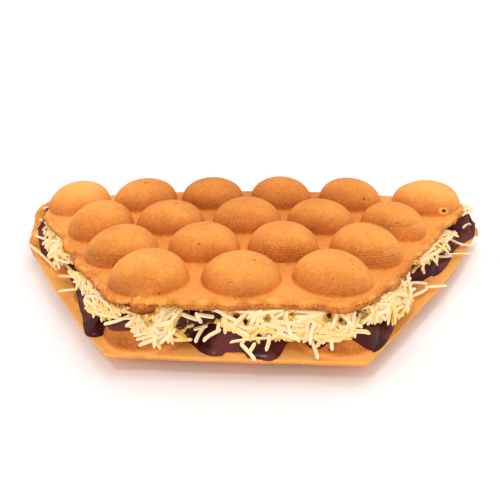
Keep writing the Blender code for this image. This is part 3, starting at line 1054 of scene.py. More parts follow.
LOWER = CutPlan(
    rows=((-0.003, -0.0915, -0.0553, -0.0191, 0.0171, 0.0533, 0.0895),
          (-0.0336, -0.0734, -0.0372, -0.001, 0.0352, 0.0714),
          (-0.0642, -0.0553, -0.0191, 0.0171, 0.0533),
          (-0.0948, -0.0372, -0.001, 0.0352)),
    radius=0.0155, above=0.0105, left=-0.1105, right=0.1203, seed=23, ragged=0.0003,
    skew=-0.035, wave_share=0.2, fronts=(2, 3),
    cut=((-0.108, -0.0055, 0.003), (-0.0798, -0.062, 0.03), (-0.0498, -0.1092, 0.0022),
         (0.044, -0.1146, 0.0022), (0.092, -0.0455, 0.035)))


@dataclass(frozen=True)
class BrowningAndShade:
    """How brown each place of the sheet's outer face is, from 0 to 1, with painted shade in it.

    Bubbles are palest near their tops and darker down their steep sides and their fronts, which
    face away from the key light, most near the bottom: partly browning and partly painted shade.
    A thin painted contact shadow rings the foot of each bubble. The areas make the middle of the
    back redder and the corners paler. A gain has a factor and a power.
    """

    plain: float = 0.26
    areas: Spots = (
        (0.006, 0.005, 0.06, 0.21), (-0.082, 0.0, 0.02, -0.18), (0.092, 0.0, 0.02, -0.18))
    # Strength of the thin painted contact shadow round the foot of each bubble.
    foot: float = 0.06
    # Faces turned this way, to the front and away from the key light, are painted darker: partly
    # browning, partly painted shade.
    front: Triple = (-0.3, -0.85, -0.25)
    front_shade_gain: Pair = (0.76, 1.3)
    steep_gain: Pair = (0.1, 1.5)
    low_shade_gain: Pair = (0.24, 0.5)
    most: float = 0.54
    quickness: float = 2.0
    blotches: Layers = ((0.035, 0.016, 3), (0.025, 0.006, 4), (0.025, 0.0022, 5))

    def of(self, points: Array, normals: Array, rise: Array, plan: Array) -> Array:
        """Return the browning.

        Args:
            points: Points in the sheet's own frame.
            normals: Their outward normals.
            rise: Their heights over the web.
            plan: Places x, y before the bubbles rose, which the blotches follow.

        Returns:
            Values of the points' shape without coordinates.
        """
        steep = np.clip(1 - normals[..., 2], 0.0, 1.0)
        front = np.clip(normals @ np.array(self.front), 0.0, 1.0)
        on_bubble = smooth_step(0.0, 0.0012, rise)
        low = smooth_step(0.0085, 0.0006, rise) * on_bubble
        # A thin painted contact shadow where each bubble meets the web.
        foot = np.exp(-((rise - 0.0004) / 0.0005) ** 2) * smooth_step(0.00002, 0.0004, rise)
        tone = self.plain + spots(points, self.areas) + self.foot * foot
        # Darker down steep sides and fronts and near their bottoms: partly browning, partly painted
        # shade.
        turned = (self.front_shade_gain[0] * front ** self.front_shade_gain[1]
                  + self.steep_gain[0] * steep ** self.steep_gain[1]
                  + self.low_shade_gain[0] * low * front ** self.low_shade_gain[1])
        turned = self.most * (1 - np.exp(-self.quickness * turned))
        tone += turned * on_bubble * (1 - tone)
        return np.clip(tone + uneven(plan, *self.blotches), 0.0, 1.0)


@dataclass
class UpperLeaf(Piece):
    """The upper half of the sheet with its 18 bubbles, and the fold that carries it.

    Peeking bubbles of the underside have their middle, radius and depth. Patches change the
    browning of the rim, and dips let the leaf down.
    """

    plan: LeafPlan = UPPER
    columns: int = 250
    leaf_rows: int = 140
    fold_rows: int = 24
    tail_rows: int = 4
    tail: float = 0.0045
    tail_insets: Pair = (0.003, 0.007)
    tail_thinning: float = 0.6
    bulge: float = 0.0007
    undercut: float = 0.0004
    bitten: Pair = (0.55, 1.0)
    lumps: Layers = ((0.00016, 0.009, 21), (0.00007, 0.0035, 22))
    ridge: float = 0.0008
    ridge_layers: Layers = ((0.8, 0.0018, 23), (0.4, 0.0045, 25))
    fold_waves: Layer = (0.00012, 0.009, 24)
    rim_reaches: Floats = (0.8, 1.3, 0.6, 1.5, 0.7, 1.2, 0.5)
    rim_roughness: tuple[float, float, int] = (0.0006, 0.00009, 31)
    patches: Spots = (
        (-0.035, -0.1045, 0.0045, -0.22), (-0.07, -0.059, 0.006, 0.16),
        (-0.06, -0.079, 0.005, 0.14), (0.104, -0.012, 0.006, 0.16),
        (0.1045, 0.002, 0.006, 0.2),
        (0.062, -0.074, 0.007, 0.08), (0.07, -0.045, 0.006, -0.12))
    patch_squeeze: float = 1.6
    thinned: Spot = (-0.036, -0.105, 0.012, 0.0019)
    peeking: Spots = (
        (-0.0365, -0.0945, 0.0082, 0.0054), (-0.001, -0.0885, 0.0145, 0.0032),
        (0.033, -0.0895, 0.0145, 0.0036))
    bubble_reach: float = 0.0165
    taller: Floats = (
        0.0006, 0.0, -0.0008, -0.0002, 0.0, 0.0006, 0.0012, 0.0003, 0.0004, 0.0004, 0.0016,
        0.0014, 0.0007, 0.001, 0.0011, 0.001, -0.0008, 0.0008)
    dips: Spots = (
        (-0.069, -0.045, 0.015, 0.0024), (0.072, -0.044, 0.014, 0.002),
        (0.056, -0.074, 0.014, 0.0016), (-0.056, -0.074, 0.014, 0.001),
        (-0.001, -0.102, 0.014, 0.0008))
    back_lift: float = 0.0011
    end_lift: float = 0.0026

    def outer_bubbles(self) -> list[Bubble]:
        """Return the bubbles of the top face."""
        return [Bubble(x, y, self.plan.radius * width,
                       self.plan.above * height - BUBBLE_SUNK + more,
                       max(self.bubble_reach, self.plan.radius * width + 0.0015), 2.06)
                for (x, y, width, height, _), more in zip(self.plan.places(), self.taller)]

    def inner_bubbles(self) -> list[Bubble]:
        """Return the bubbles of the underside: those of the front row, which peek out."""
        return [Bubble(x, y, radius, depth, radius + 0.0009, 3.0)
                for x, y, radius, depth in self.peeking]

    def fold_grid(self, u: Array) -> tuple[Array, Array, Array]:
        """Return the middle surface, normals and half thickness of the fold and its tail.

        The fold is a half turn about a line along x. Its ends pass from the lower leaf's to the
        upper leaf's by a power of the height. The tail runs on inside the lower leaf, thinner.

        Args:
            u: Shares from left to right.

        Returns:
            Middle points, unit normals and half thicknesses.
        """
        turn = np.linspace(-math.pi / 2, math.pi / 2, self.fold_rows, endpoint=False)
        tail = np.linspace(self.tail, 0.0, self.tail_rows, endpoint=False)
        y = np.concatenate([FOLD_START - tail, FOLD_START + FOLD_RADIUS * np.cos(turn)])
        z = np.concatenate([np.full(len(tail), -FOLD_RADIUS), FOLD_RADIUS * np.sin(turn)])
        share = (z + FOLD_RADIUS) / (2 * FOLD_RADIUS)
        inside = np.concatenate([0.2 + 0.8 * tail / self.tail, np.zeros(len(turn))])
        left, right = (
            low + (high - low) * np.clip((share - start) / (1 - start), 0.0, 1.0) ** power
            for low, high, (start, power) in ((LOWER.left, UPPER.left, FOLD_TAPER_LEFT),
                                              (LOWER.right, UPPER.right, FOLD_TAPER_RIGHT)))
        left = left + self.bulge + self.tail_insets[0] * inside
        right = right - self.bulge - self.tail_insets[1] * inside
        x = left[:, None] + (right - left)[:, None] * u
        middle_z = (UPPER_LEVEL + LOWER_LEVEL - WEB) / 2
        middle = np.stack([x, np.broadcast_to(y[:, None], x.shape),
                           np.broadcast_to(z[:, None] + middle_z, x.shape)], axis=-1)
        normal = np.zeros_like(middle)
        normal[len(tail):, :, 1] = np.cos(turn)[:, None]
        normal[len(tail):, :, 2] = np.sin(turn)[:, None]
        normal[:len(tail), :, 2] = -1.0
        half = np.full(len(y), WEB / 2)
        half[:len(tail)] *= 1 - self.tail_thinning * tail / self.tail
        return middle, normal, np.broadcast_to(half[:, None, None], (*x.shape, 1))

    def shape(self) -> Object:
        """Return the leaf's mesh object."""
        u = crowded(self.columns, SIDE_CROWDING, SIDE_CROWDING)
        v = crowded(self.leaf_rows, 0.0, FRONT_CROWDING)
        plan = self.plan.grid(self.bulge, u, v, self.bitten[0])
        under_plan = self.plan.grid(self.bulge + self.undercut, u, v, self.bitten[1])
        top_place, rise = raise_bubbles(plan, self.outer_bubbles())
        under_place, drop = raise_bubbles(under_plan, self.inner_bubbles())
        lumps = uneven(plan, *self.lumps)
        edge = self.edge_distance(plan)
        crest = self.ridge * np.exp(-((edge - 0.0009) / 0.0007) ** 2)
        crest *= 0.7 + uneven(plan, *self.ridge_layers)
        thin = spots(plan, (self.thinned,), 4) * np.exp(-drop / 0.0005)
        top = np.dstack([top_place, UPPER_LEVEL + rise + lumps + crest])
        under = np.dstack([under_place, UPPER_LEVEL - WEB - drop + lumps + thin])
        middle, normal, half = self.fold_grid(u)
        waves = uneven(middle[..., [0, 2]] * (1.0, 1.5), self.fold_waves)[..., None]
        outer = self.bent(np.concatenate([middle + normal * (half + waves), top]))
        inner = self.bent(np.concatenate([middle - normal * half, under]))
        height = np.concatenate([np.zeros(middle.shape[:2]), rise])
        far = np.full(middle.shape[:2], 0.01)
        spread = np.concatenate([np.dstack([middle[..., 0], self.unrolled(middle)]), plan])
        slab = Slab(settle(outer), settle(inner), self.bulge, self.rim_reaches, *self.rim_roughness)
        tones = self.tones(outer, inner, height, np.concatenate([far, edge]), spread, slab)
        return slab.build("upper_leaf", tones)

    def bent(self, points: Array) -> Array:
        """Lift points of the leaf along its back and right end, and let them down at its dips.

        Args:
            points: Points in the sheet's own frame, coordinates last.

        Returns:
            The moved points.
        """
        x, y, z = points[..., 0], points[..., 1], points[..., 2]
        end = smooth_step(0.078, 0.106, x) * smooth_step(-0.034, -0.01, y)
        rise = (self.back_lift * smooth_step(-0.014, 0.004, y) + self.end_lift * end
                - spots(points, self.dips))
        moved = points.copy()
        moved[..., 2] += rise * smooth_step(0.004, 0.018, z)
        return moved

    def unrolled(self, middle: Array) -> Array:
        """Return y of the fold's middle points, as if the fold were rolled out behind the leaf."""
        behind = lengths_along(middle[::-1, 0])[::-1]
        return FOLD_START + np.broadcast_to(behind[:, None], middle.shape[:2])

    def edge_distance(self, plan: Array) -> Array:
        """Return each grid point's rough distance from the leaf's free edge, along the grid."""
        across = np.linalg.norm(np.diff(plan, axis=1), axis=-1)
        down = np.linalg.norm(np.diff(plan, axis=0), axis=-1)
        from_left = np.pad(np.cumsum(across, axis=1), ((0, 0), (1, 0)))
        from_back = np.pad(np.cumsum(down, axis=0), ((1, 0), (0, 0)))
        slant = 0.87
        left, right = from_left * slant, (from_left[:, -1:] - from_left) * slant
        return np.minimum(np.minimum(left, right), from_back[-1:] - from_back)

    def tones(self, outer: Array, inner: Array, rise: Array, edge: Array, spread: Array,
              slab: Slab) -> tuple[Array, Array, Array]:
        """Return the browning and painted shade of the outer grid, the inner grid and the rim's
        rings.

        The free edge is browned unevenly, and more so under it. The underside is darker than the
        fold's inside, partly browning and partly painted shade, and darkest with painted shade
        where its bubbles peek out under the front rim.

        Args:
            outer: Points of the outer face.
            inner: Points of the inner face.
            rise: Heights of the outer points over the web.
            edge: Distances of the outer points from the free edge.
            spread: Places x, y of the outer points on the sheet rolled out flat.
            slab: The slab that the rim belongs to.

        Returns:
            The three arrays.
        """
        x, y = spread[..., 0], spread[..., 1]
        tone = BrowningAndShade().of(outer, grid_normals(outer), rise, spread)
        blotch = 0.5 + 0.8 * value_noise(x, y, 0.0035, 41)
        tone += 0.22 * np.exp(-(edge / 0.002) ** 2) * np.clip(blotch, 0.0, 1.0)
        tone -= 0.12 * np.exp(-((edge - 0.0009) / 0.0006) ** 2)
        squeezed = [(middle_x, middle_y * self.patch_squeeze, reach, change)
                    for middle_x, middle_y, reach, change in self.patches]
        tone += (spots(spread * (1.0, self.patch_squeeze), squeezed)
                 * (1 + 0.6 * value_noise(x, y, 0.0012, 44)))
        # The underside is painted darker than the fold's inside: partly browning, partly painted
        # shade under the leaf.
        under = 0.72 - 0.4 * smooth_step(0.0, FOLD_START, inner[..., 1])
        under += 0.06 * value_noise(x, y, 0.005, 42)
        # Painted shade: darker still where the underside's bubbles peek out under the front rim.
        under += 0.16 * smooth_step(0.015, 0.013, inner[..., 2]) * (inner[..., 1] < -0.07)
        rim = slab.across_rim(tone, under)
        along = np.arange(rim.shape[1]) * 0.0008
        layers = np.stack([wander(along, (0.0042, 0.0019), 46 + 3 * ring)
                           for ring in range(slab.rings)])
        draw = np.random.default_rng(43).normal(0.0, 0.05, rim.shape)
        return tone, under, rim + 0.16 * layers + draw - 0.05


@dataclass
class LowerLeaf(Piece):
    """The lower half of the sheet, which lies on the settled feet of its bubbles."""

    plan: LeafPlan = LOWER
    columns: int = 235
    leaf_rows: int = 128
    back_rows: int = 3
    back: float = 0.002
    back_inset: float = 0.012
    bulge: float = 0.0007
    undercut: float = 0.0028
    foot_depth: float = 0.0086
    below: float = 0.01
    under_share: float = 0.97
    bubble_reach: float = 0.0174
    front_bubbles: tuple[float, float, float, float] = (0.0045, 0.0122, 0.0024, 0.0138)
    lumps: Layers = ((0.00014, 0.01, 51), (0.00006, 0.004, 52))
    patches: Spots = (
        (-0.0734, -0.032, 0.015, -0.12), (-0.0553, -0.063, 0.015, 0.14),
        (-0.0372, -0.094, 0.015, 0.06), (0.0352, -0.094, 0.015, 0.05),
        (-0.104, -0.008, 0.008, -0.14))
    seed: int = 53

    def top_bubbles(self) -> list[Bubble]:
        """Return the bubbles of the top face where the filling leaves them bare."""
        return [Bubble(x, y, self.plan.radius * width, self.plan.above - BUBBLE_SUNK,
                       self.bubble_reach, 2.1)
                for x, y, width, _, shows in self.plan.places() if shows]

    def under_bubbles(self) -> list[Bubble]:
        """Return the bubbles of the underside, which have settled flat.

        Those of the front row are smaller and hang free.

        Returns:
            The bubbles.
        """
        depth = self.below + BUBBLE_SUNK - WEB
        flat = self.foot_depth + BUBBLE_SUNK - WEB
        back, radius, less, reach = self.front_bubbles
        places = self.plan.places()
        count = len(self.plan.rows[-1]) - 1
        found = [Bubble(x, y, self.plan.radius * width * self.under_share, depth,
                        self.bubble_reach, 2.2, flat)
                 for x, y, width, *_ in places[:-count]]
        return found + [Bubble(x, y + back, radius, depth - less, reach, 2.2)
                        for x, y, *_ in places[-count:]]

    def extended(self, plan: Array, inside: Array) -> Array:
        """Return a grid with rows added behind it, which end inside the fold."""
        back = np.repeat(plan[:1], len(inside), axis=0)
        back[..., 1] += (inside * self.back)[:, None]
        back[..., 0] *= 1 - self.back_inset * inside[:, None]
        return np.concatenate([back, plan])

    def shape(self) -> Object:
        """Return the leaf's mesh object."""
        u = crowded(self.columns, SIDE_CROWDING, SIDE_CROWDING)
        v = crowded(self.leaf_rows, 0.0, FRONT_CROWDING)
        inside = np.linspace(1.0, 0.0, self.back_rows, endpoint=False)
        plan, under_plan = (self.extended(self.plan.grid(inset, u, v), inside)
                            for inset in (self.bulge, self.bulge + self.undercut))
        thin = np.concatenate([0.6 * inside, np.zeros(len(v))])[:, None] * WEB / 2
        top_place, rise = raise_bubbles(plan, self.top_bubbles())
        under_place, drop = raise_bubbles(under_plan, self.under_bubbles())
        lumps = uneven(plan, *self.lumps)
        top = np.dstack([top_place, LOWER_LEVEL + rise - thin + lumps * (thin == 0)])
        under = np.dstack([under_place, LOWER_LEVEL - WEB - drop + thin])
        browning = BrowningAndShade()
        tone = browning.of(top, grid_normals(top), rise, plan)
        # Painted light and shade: the bare web is painted paler for the light on it, and the
        # bubbles darker for the shade on their fronts.
        tone *= 0.5 + 0.65 * smooth_step(0.0002, 0.003, rise)
        tone += spots(plan, self.patches, 4)
        under_tone = browning.of(under, -grid_normals(under), drop, under_plan) * 0.7 + 0.05
        slab = Slab(settle(top), settle(under), self.bulge, seed=self.seed)
        rim = slab.across_rim(tone, under_tone) + 0.12
        return slab.build("lower_leaf", (tone, under_tone, rim))


def lumps_mesh(name: str, middles: Array, sizes: Array, tones: Array, seed: int) -> Object:
    """Make many small closed lumps as one mesh.

    Each lump is an icosahedron whose corners go in and out by a random share of its size.

    Args:
        name: The object's name.
        middles: One row x, y, z for each lump.
        sizes: Their radii.
        tones: Their browning.
        seed: Seed of the random shares.

    Returns:
        The object.
    """
    golden = (1 + math.sqrt(5)) / 2
    corners = np.array([(-1, golden, 0), (1, golden, 0), (-1, -golden, 0), (1, -golden, 0),
                        (0, -1, golden), (0, 1, golden), (0, -1, -golden), (0, 1, -golden),
                        (golden, 0, -1), (golden, 0, 1), (-golden, 0, -1), (-golden, 0, 1)])
    corners /= np.linalg.norm(corners[0])
    faces = np.array([(0, 11, 5), (0, 5, 1), (0, 1, 7), (0, 7, 10), (0, 10, 11), (1, 5, 9),
                      (5, 11, 4), (11, 10, 2), (10, 7, 6), (7, 1, 8), (3, 9, 4), (3, 4, 2),
                      (3, 2, 6), (3, 6, 8), (3, 8, 9), (4, 9, 5), (2, 4, 11), (6, 2, 10),
                      (8, 6, 7), (9, 8, 1)])
    chance = np.random.default_rng(seed)
    count = len(corners)
    share = chance.uniform(0.65, 1.3, (len(middles), count, 1))
    points = middles[:, None] + corners * sizes[:, None, None] * share
    numbers = faces[None] + count * np.arange(len(middles))[:, None, None]
    return mesh_object(name, points.reshape(-1, 3), [numbers.reshape(-1, 3)],
                       {"bake_and_shade": np.repeat(tones, count)})


@dataclass
class RimCrumbs(Piece):
    """Crumbs of baked batter that make the upper leaf's free edge rough.

    Rough places have more of them.
    """

    count: int = 800
    smallest: float = 0.0002
    largest: float = 0.0006
    bitten: float = 0.7
    end_points: int = 12
    rough: Spots = (
        (-0.07, -0.06, 0.012, 2.2), (-0.06, -0.078, 0.01, 2.2), (-0.036, -0.104, 0.008, 2.2),
        (0.063, -0.077, 0.006, 2.2), (0.101, -0.016, 0.01, 2.2), (0.045, -0.102, 0.008, 2.2))
    seed: int = 101

    def shape(self) -> Object:
        """Return the mesh object.

        A crumb's height over the rim's lower face is a random share of the web's thickness, and
        its distance from the outline follows a half circle over that share.

        Returns:
            The object.
        """
        chance = np.random.default_rng(self.seed)
        line = UPPER.outline(0.0, self.bitten)[0][self.end_points:-self.end_points]
        rough = 1 + spots(line, self.rough)
        place = chance.choice(len(line), self.count, p=rough / rough.sum())
        share = chance.beta(1.3, 1.0, self.count)
        inset = (0.0009 * (1 - np.sqrt(1 - (2 * share - 1) ** 2))
                 + chance.uniform(0.0, 0.0004, self.count))
        flat = line[place] + inward(line)[place] * inset[:, None]
        height = UPPER_LEVEL - WEB + share * (WEB - 0.0001)
        sizes = self.smallest + (self.largest - self.smallest) * chance.beta(1.0, 2.5, self.count)
        tones = np.clip(chance.normal(0.5, 0.2, self.count) - 0.2 * share, 0.05, 0.95)
        middles = settle(UpperLeaf().bent(np.column_stack([flat, height])))
        return lumps_mesh("rim_crumbs", middles, sizes, tones, self.seed)


@dataclass
class SteamVent(Piece):
    """The small ring of batter round the hole where steam left the sheet.

    Its profile has distances from the axis and heights in millimetres, and the browning, which is
    darkest in the hole as painted shade.
    """

    middle: Triple = (0.0934, -0.0153, 0.0242)
    axis: Triple = (0.18, -0.84, 0.52)
    # The first rows lie in the hole and are painted darkest, as painted shade.
    profile: tuple[Triple, ...] = (
        (0.0, 0.4, 1.0), (0.7, 0.42, 1.0), (0.92, 0.68, 0.9), (1.0, 0.95, 0.5),
        (1.18, 1.12, 0.16), (1.42, 1.15, 0.08), (1.7, 0.95, 0.14), (1.95, 0.5, 0.26),
        (2.2, 0.05, 0.36), (2.5, -0.5, 0.4), (2.6, -1.4, 0.4), (1.2, -1.6, 0.3),
        (0.0, -1.6, 0.3))
    sides: int = 28
    uneven: float = 0.13

    def shape(self) -> Object:
        """Return the mesh object.

        The profile turns about the ring's axis, and its distances vary slowly round the turn.

        Returns:
            The object.
        """
        out, up, tone = np.array(self.profile).T * np.array(((0.001,), (0.001,), (1.0,)))
        axis = np.array(self.axis) / np.linalg.norm(self.axis)
        side = unit(np.cross((0.0, 1.0, 0.0), axis))
        turn = np.linspace(0.0, 2 * math.pi, self.sides, endpoint=False)
        reach = (out[1:-1, None] * (1 + self.uneven * np.sin(2 * turn + 0.7)))[..., None]
        spine = np.array(self.middle) + up[:, None] * axis
        rings = (spine[1:-1, None] + reach * np.cos(turn)[:, None] * side
                 + reach * np.sin(turn)[:, None] * np.cross(axis, side))
        points = np.concatenate([rings.reshape(-1, 3), spine[[0, -1]]])
        tones = np.concatenate([np.repeat(tone[1:-1], self.sides), tone[[0, -1]]])
        return mesh_object("steam_vent", settle(points), tube_faces(len(rings), self.sides),
                           {"bake_and_shade": tones})


# The filling


def polygon_distance(place: Array, line: Array) -> Array:
    """Return the distance of each place to a closed line, positive inside it.

    The distance is the least of those to the line's stretches. A place is inside where a ray
    along x crosses the line an odd number of times.

    Args:
        place: Places, coordinates last.
        line: The line's points, one row each.

    Returns:
        Signed distances.
    """
    x, y = place[..., 0], place[..., 1]
    best = np.full(x.shape, np.inf)
    inside = np.zeros(x.shape, dtype=bool)
    for (x0, y0), (x1, y1) in zip(line, np.roll(line, -1, axis=0)):
        step_x, step_y = x1 - x0, y1 - y0
        length = max(step_x ** 2 + step_y ** 2, 1e-18)
        share = np.clip(((x - x0) * step_x + (y - y0) * step_y) / length, 0.0, 1.0)
        best = np.minimum(best, (x - x0 - share * step_x) ** 2 + (y - y0 - share * step_y) ** 2)
        if y0 != y1:
            crosses = ((y0 > y) != (y1 > y)) & (x < x0 + (y - y0) * step_x / step_y)
            inside ^= crosses
    return np.where(inside, 1.0, -1.0) * np.sqrt(best)


def smooth_line(points: Array, steps: int) -> Array:
    """Return the points of a Catmull-Rom curve through an open line."""
    line = np.concatenate([points[:1], points, points[-1:]])
    share = (np.arange(steps) / steps)[None, :, None]
    before, start, end, after = (line[place:len(line) - 3 + place, None] for place in range(4))
    curve = 0.5 * (2 * start + (end - before) * share
                   + (2 * before - 5 * start + 4 * end - after) * share ** 2
                   + (3 * start - before - 3 * end + after) * share ** 3)
    return np.concatenate([curve.reshape(-1, points.shape[1]), points[-1:]])


@dataclass
class ChocolateSauce(Piece):
    """The layer of sauce on the lower leaf, thick and rounded at its edge.

    The edge is seen from above, from the left end of the fold round the front to its right
    end, in millimetres, and its front corners are given by their places in the list. The sauce
    swells up near both ends of the fold.
    """

    edge: tuple[Pair, ...] = (
        (-106.5, 15), (-104.8, 4), (-102, -4), (-99.8, -11), (-98, -16.5), (-94.6, -22), (-91, -26),
        (-87, -33), (-83, -39), (-79.8, -43), (-76.6, -47), (-74, -51), (-71.5, -58),
        (-68.5, -67), (-66.1, -73.7), (-63.2, -80.5), (-60.6, -90), (-58.6, -94.6),
        (-55.5, -96.2), (-51.4, -94.4), (-47.6, -100.4), (-41.7, -103), (-36, -102.4),
        (-30.3, -101.2), (-25.5, -99.5), (-22, -99), (-19.3, -100.6), (-17.3, -103),
        (-15.4, -106), (-12.5, -108.4), (-10, -109.2), (-7.2, -108.9), (-3.4, -109.7),
        (0.5, -109.9), (3.7, -110.6), (6.7, -111.4), (9.5, -111.8), (11.7, -110.4),
        (13.4, -106.6), (15.2, -101), (18.5, -98.5), (21.5, -101.5), (23.4, -105.6),
        (25.8, -107.9), (28.2, -108.6), (30.4, -107.8), (33, -106.7), (36.5, -107),
        (39.8, -108.1), (43.5, -108.4), (47.2, -106.2), (50.2, -103), (52.6, -99), (55, -93.8),
        (57.9, -86.2), (59.8, -81.8), (61.6, -77), (63, -72), (65.5, -64), (69.5, -56.5),
        (72.8, -52), (76.4, -49.8), (80.5, -47.3), (86.5, -41.8), (90.4, -36.3),
        (93.5, -30.8), (96.4, -24.7), (99.4, -18), (102.8, -12.6), (108.4, -6), (115.0, 1.4),
        (119.6, 15))
    slot, node = Slot.SAUCE, "chocolate_sauce"
    corners: tuple[int, int] = (17, 51)
    swells: Spots = ((-0.1, 0.01, 0.01, 0.0105), (0.113, 0.008, 0.011, 0.0095))
    level: float = 0.0062
    film: float = 0.0022
    lumps: Layer = (0.0004, 0.012, 61)
    edge_width: float = 0.0034
    edge_start: float = 0.12
    slope: float = 0.012
    back_slope: float = 0.0045
    past_fold: float = 0.02
    under_fold: float = 0.0004
    bulge: float = 0.0006
    columns: int = 300
    rows: int = 150
    crowding: float = 0.75
    steps: int = 5
    line: Array = field(init=False)

    def __post_init__(self) -> None:
        """Work out the smooth edge."""
        self.line = smooth_line(np.array(self.edge) / 1000, self.steps)

    def fold_rise(self, y: Array) -> Array:
        """Return how far the fold's inner face stands over the leaf: a quarter circle along y."""
        inner = FOLD_RADIUS - WEB / 2
        return inner - np.sqrt(inner ** 2 - np.clip(y - FOLD_START, 0.0, inner) ** 2)

    def leaf_top(self, place: Array) -> Array:
        """Return the height of the lower leaf's top face: web, bare half ellipsoids and fold."""
        x, y = place[..., 0], place[..., 1]
        height = self.fold_rise(y)
        for middle_x, middle_y, width, _, shows in LOWER.places():
            if shows:
                near = ((x - middle_x) ** 2 + (y - middle_y) ** 2) / (LOWER.radius * width) ** 2
                dome = (LOWER.above - BUBBLE_SUNK) * np.sqrt(np.clip(1 - near, 0.0, 1.0))
                height = np.maximum(height, dome)
        return height

    def top(self, place: Array) -> Array:
        """Return the height of the sauce's surface.

        The surface is the softened larger of the pool's level and a film over the leaf. Towards
        the edge the thickness follows a quarter of an ellipse, except at the back in the fold.

        Args:
            place: Places, coordinates last.

        Returns:
            Heights.
        """
        leaf, y = self.leaf_top(place), place[..., 1]
        full = soft_max(self.level + spots(place, self.swells), leaf + self.film, 0.003)
        full += uneven(place, self.lumps)
        ends = self.line[[0, -1]] + (0.0, self.past_fold)
        inside = polygon_distance(place, np.vstack([ends[:1], self.line, ends[1:]]))
        inside = np.clip(inside, 0.0, None)
        edge = np.clip(self.edge_start + inside / self.edge_width, 0.0, 1.0)
        slope = np.maximum(smooth_step(0.0, self.slope, inside),
                           smooth_step(0.0, self.back_slope, inside) * (y > 0))
        thickness = self.film + (full - leaf - self.film) * slope
        return np.minimum(leaf + thickness * np.sqrt(1 - (1 - edge) ** 2),
                          UPPER_LEVEL - WEB - self.fold_rise(y) - self.under_fold)

    def ground(self, place: Array) -> Array:
        """Return the height of what the cheese lies on: the sauce, and the leaf round it."""
        return np.where(polygon_distance(place, self.line) > 0, self.top(place),
                        self.leaf_top(place))

    def shape(self) -> Object:
        """Return the layer's mesh object."""
        u = crowded(self.columns, self.crowding, self.crowding)
        v = crowded(self.rows, 0.0, self.crowding)
        corners = tuple(self.steps * number for number in self.corners)
        plan = fill_outline(self.line, corners, u, v)
        top = np.dstack([plan, self.top(plan)])
        under = np.dstack([plan, np.minimum(self.leaf_top(plan) - 0.0006, top[..., 2] - 0.0005)])
        slab = Slab(settle(top), settle(under), self.bulge, (0.9, 0.9))
        return slab.build("chocolate_sauce_layer")


